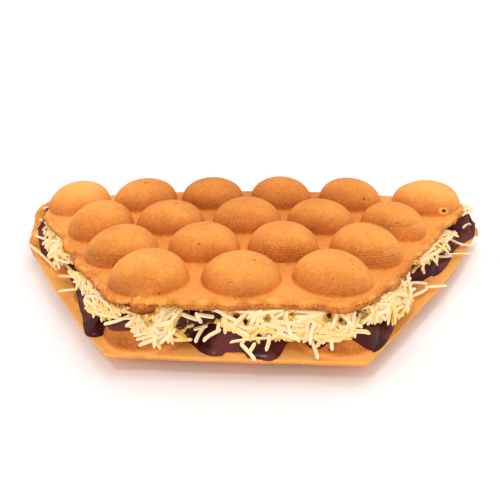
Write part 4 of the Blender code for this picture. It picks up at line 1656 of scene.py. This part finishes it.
@dataclass
class CheeseHeap:
    """The heap of grated cheese: a lumpy core inside, the shreds round it, and loose ones.

    Each band of the heap's face has stations from left to right: x and y of its top under the
    upper leaf's edge, and x, y and z of its toe, in millimetres. Gaps in the face are balls
    with a middle and a radius, and loose shreds have three points each, in millimetres too.
    How many layers of shreds a band has, how much longer they are, how much sauce is smeared
    on it and how many shreds are yellower is given band by band.
    """

    sauce: ChocolateSauce
    node: str = "grated_cheese"
    bands: tuple[tuple[Floats, ...], ...] = (
        ((-93.5, -8, -96.4, -8.7, 11.3), (-92, -12, -96.2, -13.3, 10.8),
         (-88, -23, -92.3, -25.3, 9.6), (-83, -32, -88.8, -35.3, 8.6), (-79, -41, -84.7, -42, 8),
         (-75, -48, -81, -46, 8),
         (-73, -53, -78, -45, 10)),
        ((-65, -74, -67, -72, 11), (-62, -77, -64, -76, 10), (-59, -81, -61, -82, 9),
         (-55, -88, -58, -89, 8), (-51, -94, -53, -95, 8), (-46, -100, -48, -97, 9),
         (-43, -102, -43, -98, 10), (-40, -101, -40, -99, 11)),
        ((-38, -101, -39, -101, 7), (-37, -102, -37, -105, 4), (-34, -102, -35, -107, 2.5),
         (-30, -102, -32, -107, 3), (-27, -102, -27, -106, 4), (-23, -102, -23, -107, 5),
         (-20, -104, -21, -105, 6)),
        ((-19, -104, -19, -103, 13), (-17, -104, -17, -106, 12), (-14, -104, -14, -107, 11),
         (-10, -104, -10, -106, 10), (-7, -104, -7, -107, 8), (-3, -104, -3, -108, 7),
         (0, -105, 0, -109, 5.5), (4, -105, 4, -108, 5.5), (6, -105, 6, -108, 7.5),
         (9, -105, 9, -108, 7), (13, -105, 13, -108, 5.5), (17, -105, 17, -108, 6),
         (21, -105, 21, -107, 7), (24, -105, 24, -108, 5.5), (28, -105, 28, -108, 5.5),
         (31, -106, 31, -109, 6), (35, -105, 35, -109, 6.5), (38, -104, 38, -108, 7.5),
         (40, -104, 39, -107, 9)),
        ((44, -101, 44, -103, 11), (47, -99, 48, -101, 10), (51, -95, 55, -94, 8),
         (54, -90, 60, -90, 6.5), (57, -86, 64, -83, 6), (61, -80, 66, -78, 6.5),
         (63, -77, 67, -72, 8.5)),
        ((70, -62, 76, -54, 12), (75, -54, 81, -46, 11.5), (79, -46, 86, -38, 11),
         (85, -37, 91, -31, 11), (91, -28, 95, -24, 11.5), (95, -21, 100, -17, 12.5)))
    gaps: tuple[tuple[float, float, float, float], ...] = (
        (-19.0, -104, 12.6, 4.4), (-13.2, -104, 12.2, 3.6), (-21.5, -104, 10.0, 3.0),
        (-9.0, -104, 13.4, 1.8), (-2.6, -105, 13.6, 1.5), (1.0, -106, 11.6, 1.0),
        (8.3, -106, 12.6, 1.1), (17.3, -105, 14.6, 1.0), (-33.4, -104, 11.2, 1.6),
        (30.0, -106, 14.2, 1.6), (35.0, -106, 12.6, 1.3), (42.5, -102, 13.5, 1.5),
        (-86.0, -26, 14.0, 1.2), (-76.5, -47, 10.0, 1.4), (84.0, -39, 13.0, 1.4),
        (-40.5, -103, 16.0, 2.0), (-36.5, -103.5, 15.6, 2.4), (-32.5, -103.5, 15.8, 2.2),
        (71.5, -60, 13.0, 2.2), (87.5, -34.5, 13.4, 1.7), (94.0, -24.5, 12.8, 1.8))
    loose: tuple[tuple[Triple, ...], ...] = (
        ((-21.5, -106, 15.5), (-18.7, -106.3, 14), (-15.9, -106, 12.6)),
        ((-16.6, -106, 15.9), (-15.7, -106.5, 13.6), (-14.9, -106, 11.4)),
        ((-15.9, -106, 15.1), (-13, -106.3, 14.5), (-10.3, -106, 13.8)),
        ((-105, -12, 2), (-94, -27, 2), (-83, -44, 3)),
        ((-80, -52, 4), (-74, -57, 7), (-67, -64, 10)),
        ((-77, -65, 3), (-72, -68, 6), (-67, -72, 9)),
        ((-72, -58, 9), (-63, -73, 10), (-55, -84, 8)),
        ((-51, -99, 7), (-46, -101, 10), (-41, -100, 12)),
        ((-42, -104, 9), (-40, -103, 11), (-39, -101, 12)),
        ((-102, -11, 8), (-97, -16, 8), (-92, -20, 9)),
        ((-106, 10, 8), (-100, 0, 11), (-94, -11, 12)),
        ((-104.5, 14, 14), (-102, 12, 15), (-98.5, 9, 15.5)),
        ((-39, -104, 9), (-34, -104, 9), (-28, -103, 9)),
        ((-39, -107, 7), (-34, -106, 8), (-28, -104, 8)),
        ((-37, -109, 4), (-32, -108, 6), (-26, -105, 8)),
        ((-38, -108, 6), (-33, -107, 7), (-27, -106, 9)),
        ((-39, -105, 7), (-35, -105, 8), (-30, -104, 10)),
        ((-23, -102, 7), (-21, -101, 7), (-18, -101, 8)),
        ((-18, -103, 7), (-15, -103, 8), (-13, -103, 9)),
        ((-17, -107, 4), (-16, -105, 6), (-14, -103, 9)),
        ((-14, -108, 5), (-12, -107, 7), (-8, -106, 9)),
        ((-1, -110, 6), (2, -112, 3), (4, -114, 1)), ((4, -110, 6), (3, -111, 4), (2, -112, 3)),
        ((9, -108, 8), (9, -109, 6), (8, -111, 3)), ((24, -108, 6), (25, -110, 4), (26, -113, 1)),
        ((28, -108, 7), (27, -109, 6), (26, -110, 4)),
        ((31, -108, 8), (31, -110, 6), (31, -112, 4)),
        ((38, -108, 9), (41, -107, 9), (45, -107, 8)),
        ((38, -108, 9), (40, -106, 12), (42, -102, 14)),
        ((66, -70, 11), (72, -63, 7), (78, -57, 2)), ((69, -68, 3), (73, -65, 3), (77, -60, 2)),
        ((76, -60, 3), (81, -58, 2), (86, -57, 2)), ((71, -56, 8), (74, -51, 9), (77, -47, 10)),
        ((77, -53, 6), (77, -50, 8), (78, -47, 10)), ((76, -46, 11), (83, -40, 10), (92, -27, 6)),
        ((86, -36, 8), (92, -31, 4), (97, -26, 2)), ((92, -29, 5), (101, -25, 3), (109, -24, 2)),
        ((97, -16, 9), (101, -14, 5), (105, -14, 2)), ((99, -14, 6), (105, -13, 2), (111, -13, 2)),
        ((108, -2, 9), (111, 1, 5), (114, 4, 3)), ((107, 4, 16), (112, 12, 16.4), (117, 19, 16.2)),
        ((108, 9, 17), (113, 11, 18), (118, 14, 18.4)),
        ((110, 4, 16), (114, 8, 17.4), (118, 16, 17)),
        ((110, 13, 15.6), (111, 9, 16.4), (113, 5, 15.8)),
        ((113, 19, 16), (115, 15, 16.4), (116, 11, 15.6)),
        ((106, 6, 16.4), (111, 9, 15.8), (116, 12, 16.2)),
        ((108, 1, 15.8), (112, 6, 16.4), (116, 9, 15.8)),
        ((109, 2, 16.2), (110, 9, 15.8), (112, 17, 16.4)),
        ((113, 5, 15.6), (114, 9, 16.2), (115, 14, 16.4)))
    top: float = 0.0164
    layers: Floats = (2.7, 3.8, 5.0, 5.2, 4.4, 2.6)
    stretched: Floats = (1.35, 1.2, 1.0, 1.0, 1.15, 1.35)
    smeared: Floats = (0.5, 0.3, 0.7, 0.3, 0.3, 0.9)
    yellow: Floats = (0.34, 0.16, 0.14, 0.17, 0.14, 0.1)
    yellower: float = 0.4
    yellowest: float = 0.78
    pale_ends: float = 0.22
    hollow: float = 0.002
    shortest: float = 0.0065
    longest: float = 0.015
    least: float = 0.0035
    width: float = 0.00122
    thickness: float = 0.00072
    depth: float = 0.0021
    proud: float = 0.0006
    steepness: Pair = (0.45, 2.5)
    turn_spread: float = 0.8
    tilt_spread: float = 0.14
    bow_spread: float = 0.18
    roll_spread: float = 0.4
    loose_facing: Triple = (0.0, -0.45, 0.89)
    bed_depth: float = 0.0013
    bed_thickness: float = 0.0035
    bed_end: float = 0.86
    bed_rows: int = 22
    bed_lumps: tuple[tuple[float, float, float, int], ...] = (
        (0.0005, 0.0026, 0.6, 91), (0.0003, 0.0011, -0.5, 92))
    bed_rim: tuple[float, float, int] = (0.0004, 0.0001, 93)
    stations: Floats = (-1.0, -0.96, -0.86, -0.5, 0.0, 0.5, 0.86, 0.96, 1.0)
    end_sizes: Floats = (0.3, 0.7, 1.0, 1.0, 1.0, 1.0, 1.0, 0.7, 0.3)
    end_bulge: float = 0.12
    sides: int = 4
    seed: int = 71
    core_line: tuple[Pair, ...] = (
        (-105, 8), (-93, -15), (-78, -43), (-68, -64), (-56, -90), (-43, -103), (-10, -105),
        (40, -105), (55, -90), (72, -60), (95, -23), (105, -5), (109, 8))
    core_steps: int = 8
    core_corners: Pair = (4.5, 7.5)
    bare: Spots = (
        (-0.066, -0.048, 0.009, 1.0), (-0.092, -0.002, 0.007, 1.0), (-0.048, -0.092, 0.004, 1.0),
        (0.062, -0.066, 0.007, 1.0), (0.04, -0.094, 0.005, 1.0), (0.096, -0.006, 0.008, 1.0),
        (-0.018, -0.095, 0.004, 1.0))
    parting: float = -0.0195
    core_inset: float = 0.006
    core_columns: int = 170
    core_rows: int = 80
    core_reaches: Floats = (0.6, 0.9, 1.0, 0.9, 0.6)
    core_rim: tuple[float, float, int] = (0.0012, 0.0002, 83)

    def build(self, cheese: Material) -> None:
        """Build the core, the bed behind each band's face, and the shreds."""
        self.build_core(cheese)
        for number in range(len(self.bands)):
            self.build_bed(number, cheese)
        self.build_shreds(cheese)

    def ceiling(self, place: Array) -> Array:
        """Return the height of the upper leaf's underside, with its inner bubbles."""
        x, y = place[..., 0], place[..., 1]
        height = np.full_like(x, self.top)
        for bubble in UpperLeaf().inner_bubbles():
            near = np.hypot(x - bubble.x, y - bubble.y) / bubble.radius
            inside = np.clip(1 - near ** bubble.power, 0.0, 1.0) ** (1 / bubble.power)
            height = np.minimum(height, UPPER_LEVEL - WEB - 0.0006 - bubble.height * inside)
        return height

    def near_gap(self, points: Array, margin: float) -> Array:
        """Return how far points lie inside the gaps of the heap's face, from 0 to 1."""
        found = np.zeros(points.shape[:-1])
        for *middle, reach in self.gaps:
            distance = np.linalg.norm(points - np.array(middle) / 1000, axis=-1)
            found = np.maximum(found, np.exp(-(distance / (reach / 1000 + margin)) ** 6))
        return found

    def free_stretch(self, hit: Array) -> tuple[Array, Array]:
        """Return where the longest part of each shred before or behind the gaps starts and ends.

        Args:
            hit: Whether each of some even places along each shred lies in a gap.

        Returns:
            Shares of the shred's length from -0.5 to 0.5, one for each shred.
        """
        count = hit.shape[1]
        even = np.linspace(-0.5, 0.5, count)
        first = np.where(hit.any(axis=1), hit.argmax(axis=1) - 1, count - 1)
        last = np.where(hit.any(axis=1), count - hit[:, ::-1].argmax(axis=1), count)
        before = np.where(first >= 0, even[first] + 0.5, 0.0)
        behind = np.where(last < count, 0.5 - even[np.minimum(last, count - 1)], 0.0)
        start = np.where(before >= behind, -0.5, 0.5 - behind)
        return start, np.where(before >= behind, before - 0.5, 0.5)

    def arcs(self, middle: Array, chord: Array, bow: Array, place: Array) -> Array:
        """Return points at shares of each shred's length: its chord plus its bow."""
        return (middle[:, None] + chord[:, None] * place[..., None]
                + bow[:, None] * (0.25 - place ** 2)[..., None])

    def face_shreds(self, chance: np.random.Generator, number: int) -> tuple[Array, Array, Array]:
        """Return the middle lines of one band's shreds, how deep each lies, and its outward side.

        The band is ruled between its top and its toe. Shreds are spread evenly over its area,
        a little below its face, each a shallow arc whose chord lies nearly in the face. A shred
        that would cross a gap ends at it.

        Args:
            chance: Source of random draws.
            number: The band's place in the list.

        Returns:
            Points, with axes shred, station and coordinate, then depths and face normals.
        """
        stations = np.array(self.bands[number]) / 1000
        top = np.pad(stations[:, :2], ((0, 0), (0, 1)), constant_values=self.top)
        toe = stations[:, 2:]
        area = (np.linalg.norm(np.diff((top + toe) / 2, axis=0), axis=1)
                * np.linalg.norm((top - toe)[:-1] + (top - toe)[1:], axis=1) / 2)
        mean = (self.shortest + self.longest) / 2
        count = int(self.layers[number] * area.sum() / (mean * self.width))
        stretch = chance.choice(len(area), count, p=area / area.sum())
        share = chance.uniform(0.0, 1.0, (count, 1))
        high = top[stretch] * (1 - share) + top[stretch + 1] * share
        low = toe[stretch] * (1 - share) + toe[stretch + 1] * share
        along = unit((top + toe)[stretch + 1] - (top + toe)[stretch])
        down = unit(low - high)
        into = unit(np.cross(along, down))
        depth = chance.uniform(0.0, 1.0, count) ** 1.3 * self.depth
        fall = chance.uniform(0.0, 1.0, (count, 1))
        angle = (chance.normal(0.0, self.turn_spread, (count, 1))
                 + chance.choice(self.steepness, (count, 1)))
        tilt = chance.normal(0.0, self.tilt_spread, (count, 1))
        length = chance.uniform(self.shortest, self.longest, (count, 1)) * self.stretched[number]
        face = np.linalg.norm(low - high, axis=1, keepdims=True)
        steep = np.abs(np.sin(angle))
        length = np.minimum(length, 0.75 * face / np.maximum(steep, 0.1) + 0.0045)
        margin = np.minimum(0.42 * length * steep / face, 0.5)
        fall = np.clip(fall, margin * 0.6, 1.0 - margin)
        middle = high * (1 - fall) + low * fall + into * (depth[:, None] - self.proud)
        chord = unit(along * np.cos(angle) + down * steep - into * tilt) * length
        bow = unit(np.cross(chord, chance.normal(0.0, 1.0, (count, 3))))
        bow *= length * chance.normal(0.0, self.bow_spread, (count, 1))
        checked = self.arcs(middle, chord, bow, np.linspace(-0.5, 0.5, 17)[None])
        start, end = self.free_stretch(self.near_gap(checked, 0.0003) > 0.4)
        even = np.array(self.stations)[None] / 2 + 0.5
        points = self.arcs(middle, chord, bow, start[:, None] + (end - start)[:, None] * even)
        kept = (end - start) * length[:, 0] > self.least
        return points[kept], depth[kept], -into[kept]

    def loose_shreds(self) -> Array:
        """Return the middle lines of the loose shreds: a parabola through each three points."""
        points = np.array(self.loose) / 1000
        place = np.array(self.stations)[None, :, None]
        return (points[:, :1] * place * (place - 1) / 2 + points[:, 1:2] * (1 - place ** 2)
                + points[:, 2:] * place * (place + 1) / 2)

    def lifted(self, points: Array) -> Array:
        """Lift shreds' points out of the ground and keep them under the upper leaf.

        Args:
            points: Middle lines of shreds.

        Returns:
            The moved middle lines, smoothed along each shred.
        """
        ground = self.sauce.ground(points) + self.thickness * 0.35
        height, ceiling = points[..., 2], self.ceiling(points)
        for _ in range(3):
            height = np.minimum(np.maximum(height, ground), ceiling)
            padded = np.pad(height, ((0, 0), (1, 1)), mode="reflect", reflect_type="odd")
            height = (padded[:, :-2] + 2 * padded[:, 1:-1] + padded[:, 2:]) / 4
        return np.dstack([points[..., :2], height])

    def tubes(self, lines: Array, facing: Array, roll: Array) -> tuple[Array, list[Array]]:
        """Carry a flat four-cornered section along each shred's middle line.

        The section shrinks at both ends, where a pole closes it.

        Args:
            lines: Middle lines, with axes shred, station and coordinate.
            facing: Direction that each shred's flat side faces before it rolls.
            roll: Angle of each shred's section.

        Returns:
            Vertices, shred by shred with the two poles last in each, and faces.
        """
        count, stations = lines.shape[:2]
        tangent = unit(np.gradient(lines, axis=1))
        side = unit(np.cross(tangent, facing[:, None]))
        up = np.cross(side, tangent)[:, :, None]
        side = side[:, :, None]
        turn = np.linspace(0.0, 2 * math.pi, self.sides, endpoint=False) + math.pi / self.sides
        sizes = np.array(self.end_sizes)[None, :, None, None]
        flat = (np.cos(turn) * self.width / math.sqrt(2))[None, None, :, None]
        thick = (np.sin(turn) * self.thickness / math.sqrt(2))[None, None, :, None]
        cos, sin = np.cos(roll)[:, None, None, None], np.sin(roll)[:, None, None, None]
        ring = lines[:, :, None] + sizes * (flat * (side * cos + up * sin)
                                            + thick * (up * cos - side * sin))
        beyond = tangent[:, [0, -1]] * np.array((-1.0, 1.0))[:, None] * self.width * self.end_bulge
        vertices = np.concatenate([ring.reshape(count, -1, 3), lines[:, [0, -1]] + beyond], axis=1)
        first = (np.arange(count) * vertices.shape[1])[:, None, None]
        faces = [(part + first).reshape(-1, part.shape[1])
                 for part in tube_faces(stations, self.sides)]
        return vertices.reshape(-1, 3), faces

    def build_shreds(self, cheese: Material) -> Object:
        """Build the shreds as one joined piece and dress it.

        Deeper shreds are painted yellower, as painted shade in the heap; some are yellower than
        others, and cut ends are paler.

        Args:
            cheese: The cheese material.

        Returns:
            The piece.
        """
        chance = np.random.default_rng(self.seed)
        parts = [self.face_shreds(chance, number) for number in range(len(self.bands))]
        loose = self.loose_shreds()
        parts.append((loose, np.zeros(len(loose)), np.tile(self.loose_facing, (len(loose), 1))))
        lines, depth, facing = (np.concatenate([part[place] for part in parts])
                                for place in range(3))
        roll = chance.normal(0.0, self.roll_spread, len(lines))
        vertices, faces = self.tubes(self.lifted(lines), facing, roll)
        # Painted shade: deeper shreds are painted a deeper yellow.
        shade = 0.24 + 0.42 * depth / self.depth + chance.normal(0.0, 0.07, len(lines))
        share = np.concatenate([np.full(len(part[0]), share)
                                for part, share in zip(parts, (*self.yellow, 0.0))])
        shade += self.yellower * (chance.uniform(0.0, 1.0, len(lines)) < share)
        pale = np.full((len(lines), len(vertices) // len(lines)), 0.5)
        pale[:, -2:] = 1.0
        shade = (shade[:, None] - self.pale_ends * pale).ravel()
        item = mesh_object("cheese_shreds", settle(vertices), faces,
                           {"shade": np.clip(shade, 0.0, self.yellowest)})
        item.data.shade_flat()
        return dress(item, cheese, Slot.CHEESE, self.node)

    def build_bed(self, number: int, cheese: Material) -> Object:
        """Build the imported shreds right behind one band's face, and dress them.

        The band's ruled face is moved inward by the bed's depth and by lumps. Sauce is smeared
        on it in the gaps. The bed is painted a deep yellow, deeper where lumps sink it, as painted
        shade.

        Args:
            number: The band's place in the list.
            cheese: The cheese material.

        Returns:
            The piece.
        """
        stations = np.array(self.bands[number]) / 1000
        index = crowded(10 * len(stations), 0.3, 0.3) * (len(stations) - 1)
        columns = np.stack([np.interp(index, np.arange(len(stations)), column)
                            for column in stations.T], axis=1)
        high = np.pad(columns[:, :2], ((0, 0), (0, 1)), constant_values=self.top)[None]
        low = columns[None, :, 2:]
        fall = np.linspace(0.0, self.bed_end, self.bed_rows)[:, None, None]
        along = np.gradient(high + low, axis=1)
        into = unit(np.cross(along, unit(low - high)))
        face = high * (1 - fall) + low * fall
        across = np.cumsum(np.linalg.norm(along, axis=-1), axis=1) / 2
        below = fall[..., 0] * np.linalg.norm(low - high, axis=-1)
        lumps = sum(size * value_noise(across + below * turn, below - across * turn, width, seed)
                    for size, width, turn, seed in self.bed_lumps)
        patches = smooth_step(0.05, 0.35, value_noise(across, below, 0.0024, 95))
        smear = np.maximum(self.near_gap(face + into * self.bed_depth, 0.0002),
                           patches * self.smeared[number])
        outer = face + into * (self.bed_depth + lumps + self.hollow * smear)[..., None]
        inner = face + into * (self.bed_depth + self.bed_thickness)
        for grid in (outer, inner):
            grid[..., 2] = np.clip(grid[..., 2], self.sauce.ground(grid) - 0.0004,
                                   self.ceiling(grid) + 0.0002)
        # Painted shade: a deep yellow, deeper where lumps sink the bed.
        shade = (0.62 + 0.2 * lumps / 0.0008) * (1 - smear) + smear
        deep = np.full(inner.shape[:2], 0.8)
        rough, grain, seed = self.bed_rim
        slab = Slab(settle(outer), settle(inner), 0.0006, rough=rough, grain=grain,
                    seed=seed + number)
        rim = np.tile((border(shade) + border(deep)) / 2, (slab.rings, 1))
        item = slab.build(f"cheese_bed_{number + 1}", (shade, deep, rim), "shade")
        return dress(item, cheese, Slot.CHEESE, self.node)

    def build_core(self, cheese: Material) -> Object:
        """Build the heap's core between the sauce and the upper leaf, and dress it.

        The core sinks to the sauce where the heap leaves it bare. Sauce is smeared on it, all
        over at both ends and at the parting between two heaps at the front. Under the smears it is
        painted near the deep inside yellow, as painted shade.

        Args:
            cheese: The cheese material.

        Returns:
            The piece.
        """
        line = smooth_line(np.array(self.core_line) / 1000, self.core_steps)
        along = np.arange(len(line)) * 0.003
        inset = self.core_inset + 0.0012 * wander(along, (0.008, 0.004), 81)
        line = line + inward(line) * inset[:, None]
        corners = tuple(int(number * self.core_steps) for number in self.core_corners)
        u, v = crowded(self.core_columns, 0.5, 0.5), crowded(self.core_rows, 0.0, 0.5)
        plan = fill_outline(line, corners, u, v)
        x, y = plan[..., 0], plan[..., 1]
        ground = self.sauce.top(plan)
        full = np.minimum(self.ceiling(plan) - 0.0006, self.top - 0.001)
        full += 0.0006 * value_noise(x, y, 0.0035, 82)
        sunk = np.clip(spots(plan, self.bare, 4), 0.0, 1.0)
        height = np.maximum(full - (full - ground) * sunk, ground + 0.0003)
        under = np.minimum(ground - 0.0008, height - 0.002)
        slab = Slab(settle(np.dstack([plan, height])), settle(np.dstack([plan, under])), 0.0012,
                    self.core_reaches, *self.core_rim)
        parted = np.exp(-((x - self.parting) / 0.006) ** 4) * smooth_step(-0.085, -0.093, y)
        ends = np.maximum(smooth_step(0.078, 0.088, np.abs(x)), parted)
        ends *= 0.97 + 0.03 * value_noise(x, y, 0.003, 87)
        # The core's base is painted near the deep inside yellow, as painted shade; noise smears
        # sauce on it.
        smear = smooth_step(0.05, 0.25, value_noise(x, y, 0.005, 85)) * 0.2 + 0.78
        smear = np.maximum(smear, ends)
        around = np.linspace(0.0, 0.3, 2 * sum(x.shape) - 4)[None]
        rings = np.arange(slab.rings)[:, None] * 0.0022
        side = smooth_step(0.0, 0.2, value_noise(around, rings, 0.0045, 86))
        rim = np.maximum(0.78 + 0.22 * side, border(ends))
        item = slab.build("cheese_core", (smear, smear, rim), "shade")
        return dress(item, cheese, Slot.CHEESE, self.node)


# The studio


@dataclass(frozen=True)
class SoftLight:
    """A soft distant light that points at the object.

    Its place is in the direction that it comes from, its width is that of its disc in degrees,
    and its power is in watts for each square metre.
    """

    name: str
    place: Triple
    width: float
    power: float
    glossy: bool = False

    def build(self, target: Vector) -> Object:
        """Add the light, pointing at a target."""
        data = bpy.data.lights.new(self.name, "SUN")
        data.angle, data.energy = math.radians(self.width), self.power
        item = add_object(self.name, data)
        item.location = self.place
        item.rotation_euler = (target - Vector(self.place)).to_track_quat("-Z", "Y").to_euler()
        item.visible_glossy = self.glossy
        return item


@dataclass
class Studio:
    """Pale floor, soft lights and the camera.

    The broad lights don't show in reflections, so that the sauce stays dark.
    """

    elevation: float = math.radians(22.33)
    distance: float = 0.29484
    target: Triple = (-0.00167, 0.0045, 0.029)
    lens: float = 49.05
    sensor: float = 36.0
    shift_y: float = -0.032
    clip: Pair = (0.01, 50.0)
    floor_size: float = 8.0
    world: float = 0.7
    lights: tuple[SoftLight, ...] = (
        SoftLight("key", (0.12, 0.34, 0.93), 55, 0.8),
        SoftLight("fill", (-0.05, -1.0, 0.26), 70, 1.17),
        SoftLight("glint", (-0.25, -0.4, 0.9), 7, 0.45, glossy=True))

    def floor(self) -> Object:
        """Make the floor: one flat face under the object."""
        half = self.floor_size / 2
        corners = np.array(((-half, -half, 0.0), (half, -half, 0.0), (half, half, 0.0),
                            (-half, half, 0.0)))
        item = mesh_object("floor", corners, [np.array(((0, 1, 2, 3),))])
        item.data.materials.append(PlainPaint().build("floor_paint"))
        return item

    def camera(self) -> Object:
        """Add the camera, level along the y axis and tilted down by its elevation."""
        data = bpy.data.cameras.new("camera")
        data.lens, data.sensor_width, data.shift_y = self.lens, self.sensor, self.shift_y
        data.clip_start, data.clip_end = self.clip
        item = add_object("camera", data)
        back = Vector((0.0, -math.cos(self.elevation), math.sin(self.elevation)))
        item.location = Vector(self.target) + back * self.distance
        item.rotation_euler = (math.pi / 2 - self.elevation, 0.0, 0.0)
        bpy.context.scene.camera = item
        return item

    def build(self) -> None:
        """Build the floor, the lights, the pale surroundings and the camera."""
        self.floor()
        for light in self.lights:
            light.build(Vector(self.target))
        world = bpy.data.worlds.new("surroundings")
        world.use_nodes = True
        shade = world.node_tree.nodes["Background"]
        shade.inputs["Color"].default_value = (1.0, 1.0, 1.0, 1.0)
        shade.inputs["Strength"].default_value = self.world
        bpy.context.scene.world = world
        bpy.context.scene.view_settings.view_transform = "Standard"
        self.camera()


def main() -> None:
    """Build every piece in order."""
    logging.basicConfig(level=logging.INFO, format="%(message)s")
    pore_group()
    pit_row_group()
    crust = BakedCrust().build("baked_crust")
    sauce = GlossySauce().build("glossy_sauce")
    cheese = GratedCheese().build("grated_cheese")
    UpperLeaf().build(crust)
    LowerLeaf().build(crust)
    RimCrumbs().build(crust)
    SteamVent().build(crust)
    layer = ChocolateSauce()
    layer.build(sauce)
    CheeseHeap(layer).build(cheese)
    Studio().build()


if __name__ == "__main__":
    main()
